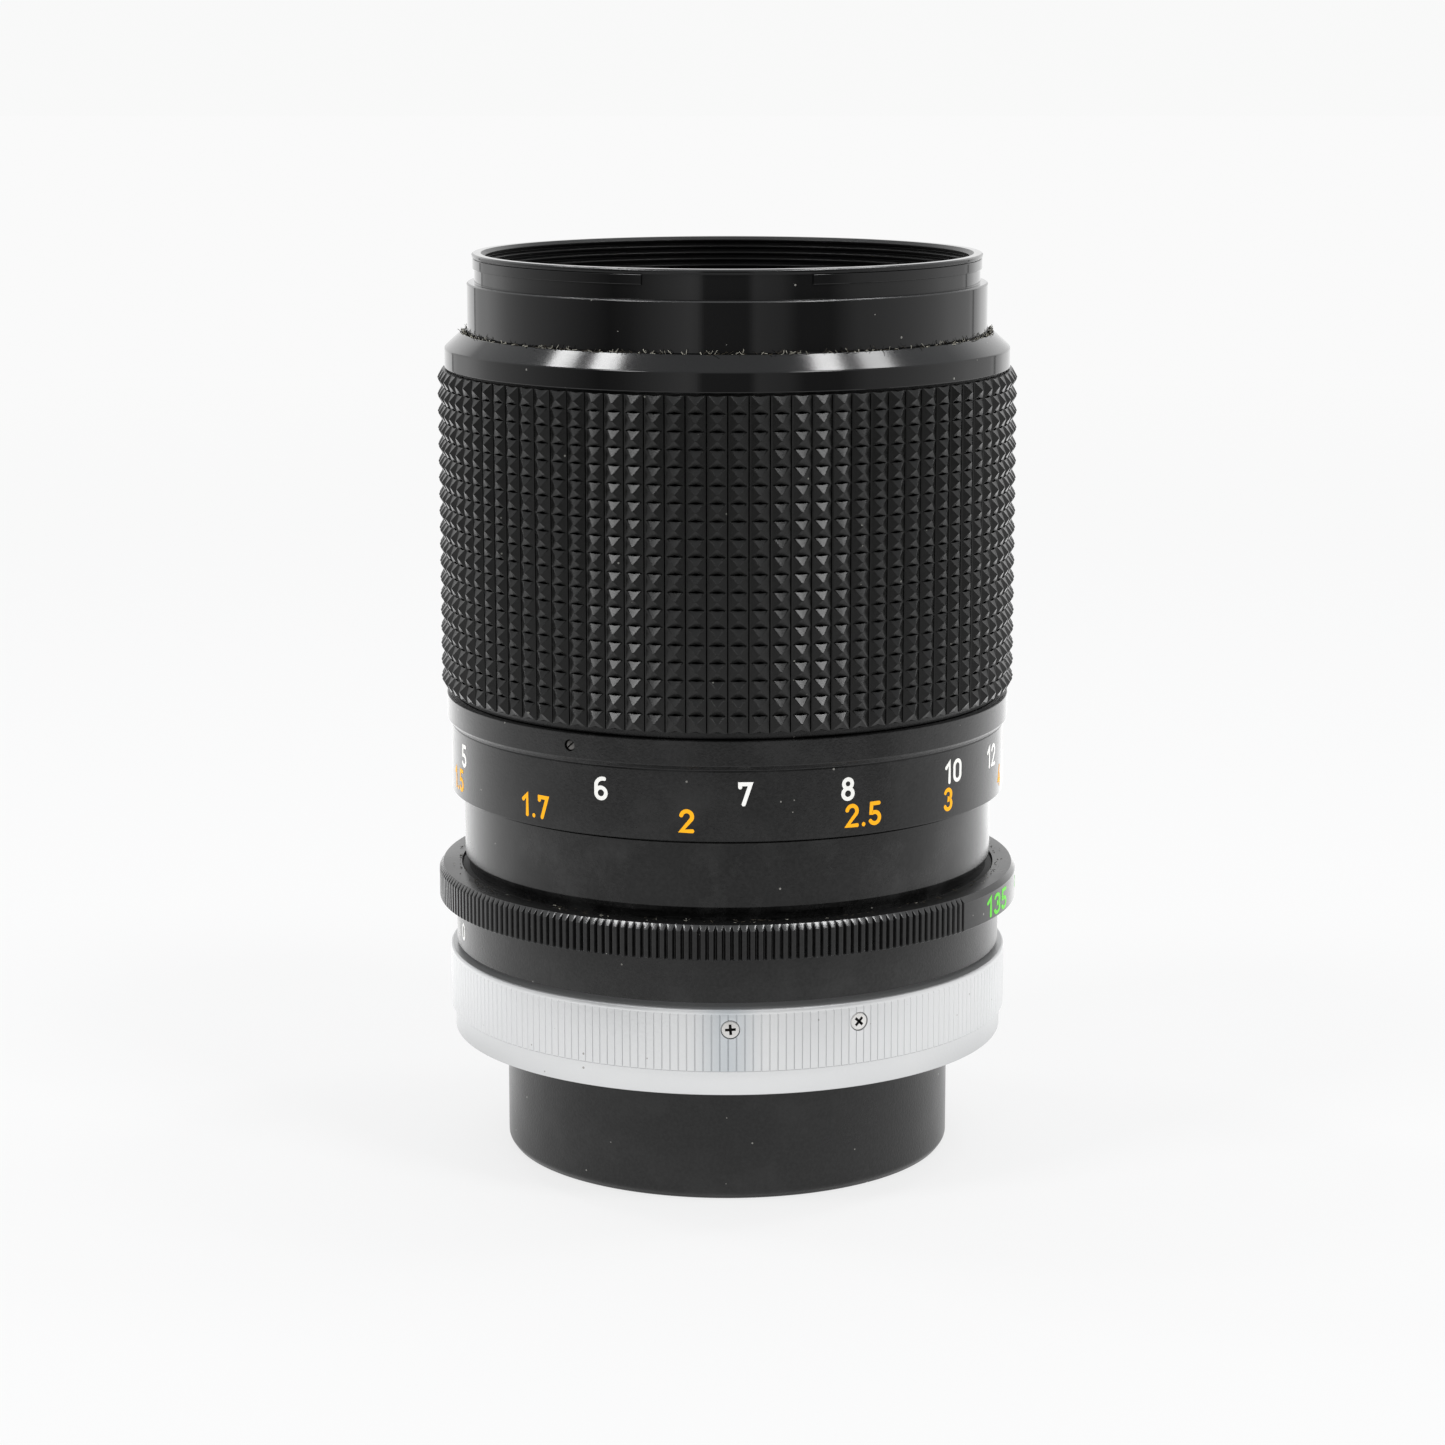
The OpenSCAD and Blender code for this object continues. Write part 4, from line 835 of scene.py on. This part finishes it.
FOOT = 304.8
feet = [(str(n), scale_angle(n * FOOT), 28.56, 2.6) for n in (5, 6, 7, 8, 10, 12, 15, 20, 30, 50)]
metres = [(t, scale_angle(float(t) * 1000), 25.56, 2.62)
          for t in ("1.5", "1.7", "2", "2.5", "3", "4", "5", "7", "10", "20")]
numerals("feet_scale", feet + [("~", INDEX_ANGLE, 27.0, 2.4)], SCALE_R, "focus_ring", WHITE)
numerals("metre_scale", metres, SCALE_R, "focus_ring", ORANGE)

STOPS = (("3.5", 0), ("5.6", 15), ("8", 25), ("11", 35), ("16", 45), ("22", 55))
numerals("aperture_numbers", [(t, INDEX_ANGLE - a, 12.75, 1.9) for t, a in STOPS], KNURL_R,
         "aperture_ring", WHITE)
numerals("aperture_auto_mark", [("O", INDEX_ANGLE - 66, 12.75, 1.9)], KNURL_R, "aperture_ring",
         GREEN)
numerals("focal_length_number", [("135", 66.3, 12.3, 2.45, 1.4)], KNURL_R, "aperture_ring", GREEN)
depth_marks = []
for f_stop, spread in ((22, 22.0), (16, 15.5), (11, 10.5), (8, 7.5)):
    for side in (-1, 1):
        depth_marks.append(("I", INDEX_ANGLE + side * spread, 21.8, 2.0))
        if f_stop in (22, 11):
            depth_marks.append((str(f_stop), INDEX_ANGLE + side * spread, 19.4, 1.7))
numerals("depth_scale", depth_marks, SLEEVE_R, "barrel", WHITE)
numerals("index_line", [("I", INDEX_ANGLE, 17.2, 7.0)], SLEEVE_R, "barrel", ORANGE)
numerals("rear_barrel_ticks", [("I", -77.5, 8.1, 1.5), ("0", -73.4, 8.0, 2.0)], 31.24, "barrel",
         WHITE)


# ---------------------------------------------------------------- dust and lint
def fibre(verts, faces, start, heading, length, thick, bend):
    """A thin bent strand of three-sided section."""
    steps = 5
    x, y, z = start
    rings = []
    h, tilt = heading
    for s in range(steps + 1):
        ring = []
        for k in range(3):
            a = 2 * math.pi * k / 3
            ox = thick * math.cos(a)
            oz = thick * math.sin(a)
            verts.append((x - math.sin(h) * ox, y + math.cos(h) * ox, z + oz))
            ring.append(len(verts) - 1)
        rings.append(ring)
        step = length / steps
        x += math.cos(h) * math.cos(tilt) * step
        y += math.sin(h) * math.cos(tilt) * step
        z += math.sin(tilt) * step
        h += bend
        tilt += bend * 0.6 * rng.uniform(-1, 1)
    for a, b in zip(rings, rings[1:]):
        for k in range(3):
            m = (k + 1) % 3
            faces.append((a[k], a[m], b[m], b[k]))
    faces.append(rings[0][::-1])
    faces.append(rings[-1])


def lint(name, count, radii, z, body, material, length=(0.25, 0.8), rise=0.5,
         thick=(0.018, 0.045)):
    verts, faces = [], []
    for _ in range(count):
        angle = rng.uniform(0, 360)
        start = around(rng.uniform(*radii), angle, z + rng.uniform(-0.05, 0.1))
        along = math.radians(angle) + rng.choice((0, math.pi)) + rng.uniform(-0.5, 0.5)
        fibre(verts, faces, start, (along, rng.uniform(-0.1, rise)), rng.uniform(*length),
              rng.uniform(*thick), rng.uniform(-0.35, 0.35))
    add_object(name, verts, faces, body, material, sharp=180.0)


lint("gap_lint_light", 260, (29.55, 29.95), 76.45, "focus_ring", LINT_LIGHT, (0.3, 0.6), 1.2,
     (0.03, 0.06))
lint("gap_lint_dark", 420, (29.5, 30.0), 76.42, "focus_ring", LINT_DARK, (0.25, 0.8), 0.8)
lint("aperture_lint", 220, (30.5, 31.5), 15.72, "aperture_ring", LINT_DARK, (0.2, 0.7), 0.4)
lint("aperture_lint_light", 40, (30.5, 32.0), 15.75, "aperture_ring", LINT_LIGHT, (0.15, 0.4), 0.3)

# ---------------------------------------------------------------- finishes of the CAD pieces
FINISH = {
    "mount_base": CHROME, "mount_screws": NICKEL, "guide_keys": BRASS, "key_screws": NICKEL,
    "aperture_retainer": MATTE, "click_ball": NICKEL, "click_plunger": BRASS,
    "click_spring": BRASS, "rear_baffle": MATTE, "stop_down_lever": NICKEL,
    "breech_stop_plate": NICKEL, "breech_screws": NICKEL, "link_screws": DARK_STEEL,
    "aperture_lever_ring": BRASS, "lock_button": CHROME, "carrier_tube": MATTE,
    "front_cell": MATTE, "element_spacer": MATTE, "front_retainer": MATTE,
    "third_retainer": MATTE, "iris_housing": MATTE, "iris_cover": MATTE,
    "iris_screws": NICKEL, "iris_retainer": BRASS, "rear_cell": MATTE,
    "rear_cell_screws": NICKEL, "rear_element": INNER_GLASS, "rear_retainer": MATTE,
    "grub_screws": DARK_STEEL, "focus_stop_screw": NICKEL, "iris_cam_ring": BRASS,
}
for k in range(1, 7):
    FINISH[f"iris_blade_{k}"] = BLADE
for node, material in FINISH.items():
    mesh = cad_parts[node].data
    mesh.materials.clear()
    mesh.materials.append(material)


# ---------------------------------------------------------------- floor, light and camera
FLOOR_GLOW = 0.74           # how bright the paper is by itself
FLOOR_SIDE = 4.0            # half the side of the floor, in metres
FADE = (0.16, 0.9)          # where the near paper turns into the evenly lit far paper
PAPER_END = (0.31, 0.46)    # where mirrored paper ends, so tall parts mirror the room beyond it
DARK_BEARING = (60.5, 5.5)  # a dark thing on the paper, seen only mirrored: degrees, half width
DARK_START = (0.19, 0.27)
NEAR_FOOT = (0.03, 0.10)    # mirrored paper is dimmer this close to the foot
FOOT_LEVEL = 0.35
# mirrored paper by bearing from the camera's side: brighter beside and behind the object
GLARE_TOP = 3.0
GLARE = ((0, 0.70), (20, 0.74), (41, 0.84), (62, 1.0), (83, 1.12), (95, 1.36), (107, 1.6),
         (118, 1.85), (132, 2.3), (142, 2.55), (156, 2.75), (180, 2.8))
# brightness seen in each direction around the set, in degrees from the camera's side
AROUND = ((-180, 1.1), (-156, 1.28), (-148.6, 1.25), (-147.6, 0.02), (-146.6, 0.85), (-140, 0.85),
          (-130, 1.05), (-122, 1.02), (-112, 0.80), (-98, 0.60), (-84, 0.46), (-66, 0.25),
          (-52, 0.08), (-43, 0.15), (-30, 0.38), (-16, 0.62), (-12.5, 0.52), (-10, 0.15),
          (9, 0.13), (12, 0.44), (24, 0.34), (31, 0.12), (46, 0.12), (58, 0.44), (82, 0.64),
          (113, 0.93), (132, 0.80), (136.2, 0.95), (137.4, 0.02), (138.6, 0.9), (150, 1.35),
          (180, 1.1))
OVERHEAD = (0.55, 0.56, 0.57)
OVERHEAD_FROM = (0.25, 0.75)
BACKDROP = (0.945, 0.947, 0.945)


def bearing_of(tree, vector):
    """Angle about the optical axis, counted from -Y towards +X, with the split vector."""
    split = add(tree, "SeparateXYZ", {"Vector": vector})
    towards_camera = calc(tree, "MULTIPLY", split.outputs["Y"], -1.0)
    return calc(tree, "ARCTAN2", split.outputs["X"], towards_camera), split


def camera_rays(tree):
    return add(tree, "LightPath").outputs["Is Camera Ray"]


def paper_floor():
    mat, tree, bsdf = new_material("paper_floor")
    position = add(tree, "NewGeometry").outputs["Position"]
    distance = add(tree, "VectorMath", {0: position}, operation="LENGTH").outputs["Value"]
    bearing, _ = bearing_of(tree, position)
    mirrored_only = calc(tree, "SUBTRACT", 1.0, camera_rays(tree))

    beside = calc(tree, "COMPARE", bearing, *(math.radians(a) for a in DARK_BEARING))
    dark_thing = calc(tree, "MULTIPLY", beside, ranged(tree, distance, *DARK_START, smooth=True))
    missing = calc(tree, "MAXIMUM", ranged(tree, distance, *PAPER_END, smooth=True), dark_thing)

    glare = add(tree, "ValToRGB", {"Fac": ranged(tree, calc(tree, "ABSOLUTE", bearing), 0.0,
                                                 math.pi)})
    fill_ramp(glare, [(a / 180, v / GLARE_TOP) for a, v in GLARE])
    gain = calc(tree, "MULTIPLY", glare.outputs["Color"], GLARE_TOP)
    reach = ranged(tree, distance, *NEAR_FOOT, FOOT_LEVEL, 1.0)
    glow = blend(tree, calc(tree, "MULTIPLY", reach, mirrored_only), 1.0, gain)

    feed(bsdf, {"Base Color": (0.21, 0.21, 0.21, 1), "Roughness": 0.9, "Specular IOR Level": 0.0,
                "Emission Color": (1, 1, 1, 1),
                "Emission Strength": calc(tree, "MULTIPLY", glow, FLOOR_GLOW)})
    far = add(tree, "Emission", {"Color": (0.955, 0.955, 0.955, 1), "Strength": glow})
    paper = add(tree, "MixShader", {"Fac": ranged(tree, distance, *FADE, smooth=True),
                                    1: bsdf.outputs["BSDF"], 2: far.outputs["Emission"]})
    whole = add(tree, "MixShader", {"Fac": calc(tree, "MULTIPLY", missing, mirrored_only),
                                    1: paper.outputs["Shader"],
                                    2: add(tree, "BsdfTransparent").outputs["BSDF"]})
    feed(tree.nodes["Material Output"], {"Surface": whole.outputs["Shader"]})

    mesh = bpy.data.meshes.new("floor")
    side = FLOOR_SIDE
    mesh.from_pydata([(-side, -side, 0), (side, -side, 0), (side, side, 0), (-side, side, 0)], [],
                     [(0, 1, 2, 3)])
    mesh.materials.append(mat)
    floor = bpy.data.objects.new("floor", mesh)
    floor.location.z = FLOOR_Z * MM
    bpy.context.scene.collection.objects.link(floor)


def studio_world():
    world = bpy.data.worlds.new("studio")
    world.use_nodes = True
    bpy.context.scene.world = world
    tree = world.node_tree
    tree.nodes.clear()
    bearing, split = bearing_of(tree, add(tree, "TexCoord").outputs["Generated"])
    ramp = add(tree, "ValToRGB", {"Fac": ranged(tree, bearing, -math.pi, math.pi)})
    fill_ramp(ramp, [((angle + 180) / 360, level) for angle, level in AROUND])
    up = ranged(tree, split.outputs["Z"], *OVERHEAD_FROM, smooth=True)
    sky = mixed(tree, up, ramp.outputs["Color"], OVERHEAD)
    seen = mixed(tree, camera_rays(tree), sky, BACKDROP)
    shade = add(tree, "Background", {"Color": seen})
    add(tree, "OutputWorld", {"Surface": shade.outputs["Background"]})


paper_floor()
studio_world()


def softbox(name, place, size, power, target):
    data = bpy.data.lights.new(name, "AREA")
    data.shape = "RECTANGLE"
    data.size, data.size_y = size
    data.energy = power
    light = bpy.data.objects.new(name, data)
    light.location = place
    direction = light.location - Vector(target)
    light.rotation_euler = direction.to_track_quat("Z", "Y").to_euler()
    bpy.context.scene.collection.objects.link(light)


RIM = (0.0, -0.03, 0.075)      # what the lights face
LIGHT_REACH = 1.1
for name, heading, watts, size in (
        ("light_back_left_outer", (-0.504, 0.327, 0.799), 0.50, (0.09, 0.12)),
        ("light_back_left_inner", (-0.408, 0.178, 0.895), 0.62, (0.09, 0.12)),
        ("light_back_right_inner", (0.346, 0.121, 0.929), 0.70, (0.10, 0.12)),
        ("light_back_right_outer", (0.475, 0.267, 0.837), 0.80, (0.20, 0.14)),
        ("light_front_left", (-0.550, -0.372, 0.748), 2.6, (0.26, 0.26)),
        ("light_front_right", (0.475, -0.430, 0.768), 3.0, (0.28, 0.26)),
        ("light_top", (0.0, 0.42, 0.907), 1.0, (0.8, 0.5))):
    softbox(name, tuple(RIM[k] + LIGHT_REACH * heading[k] for k in range(3)), size, watts, RIM)

CAMERA_PLACE = (0.0, -0.41398, 0.11241)
CAMERA_DIP = 11.06              # degrees below level
CAMERA_LENS = 91.51
CAMERA_SHIFT = -4.8 / 1445
camera_data = bpy.data.cameras.new("camera")
camera_data.sensor_width = 36.0
camera_data.lens = CAMERA_LENS
camera_data.shift_x = CAMERA_SHIFT
camera_data.clip_start = 0.01
camera = bpy.data.objects.new("camera", camera_data)
camera.location = CAMERA_PLACE
camera.rotation_euler = (math.radians(90 - CAMERA_DIP), 0, 0)
bpy.context.scene.collection.objects.link(camera)
bpy.context.scene.camera = camera
bpy.context.scene.view_settings.view_transform = "Standard"
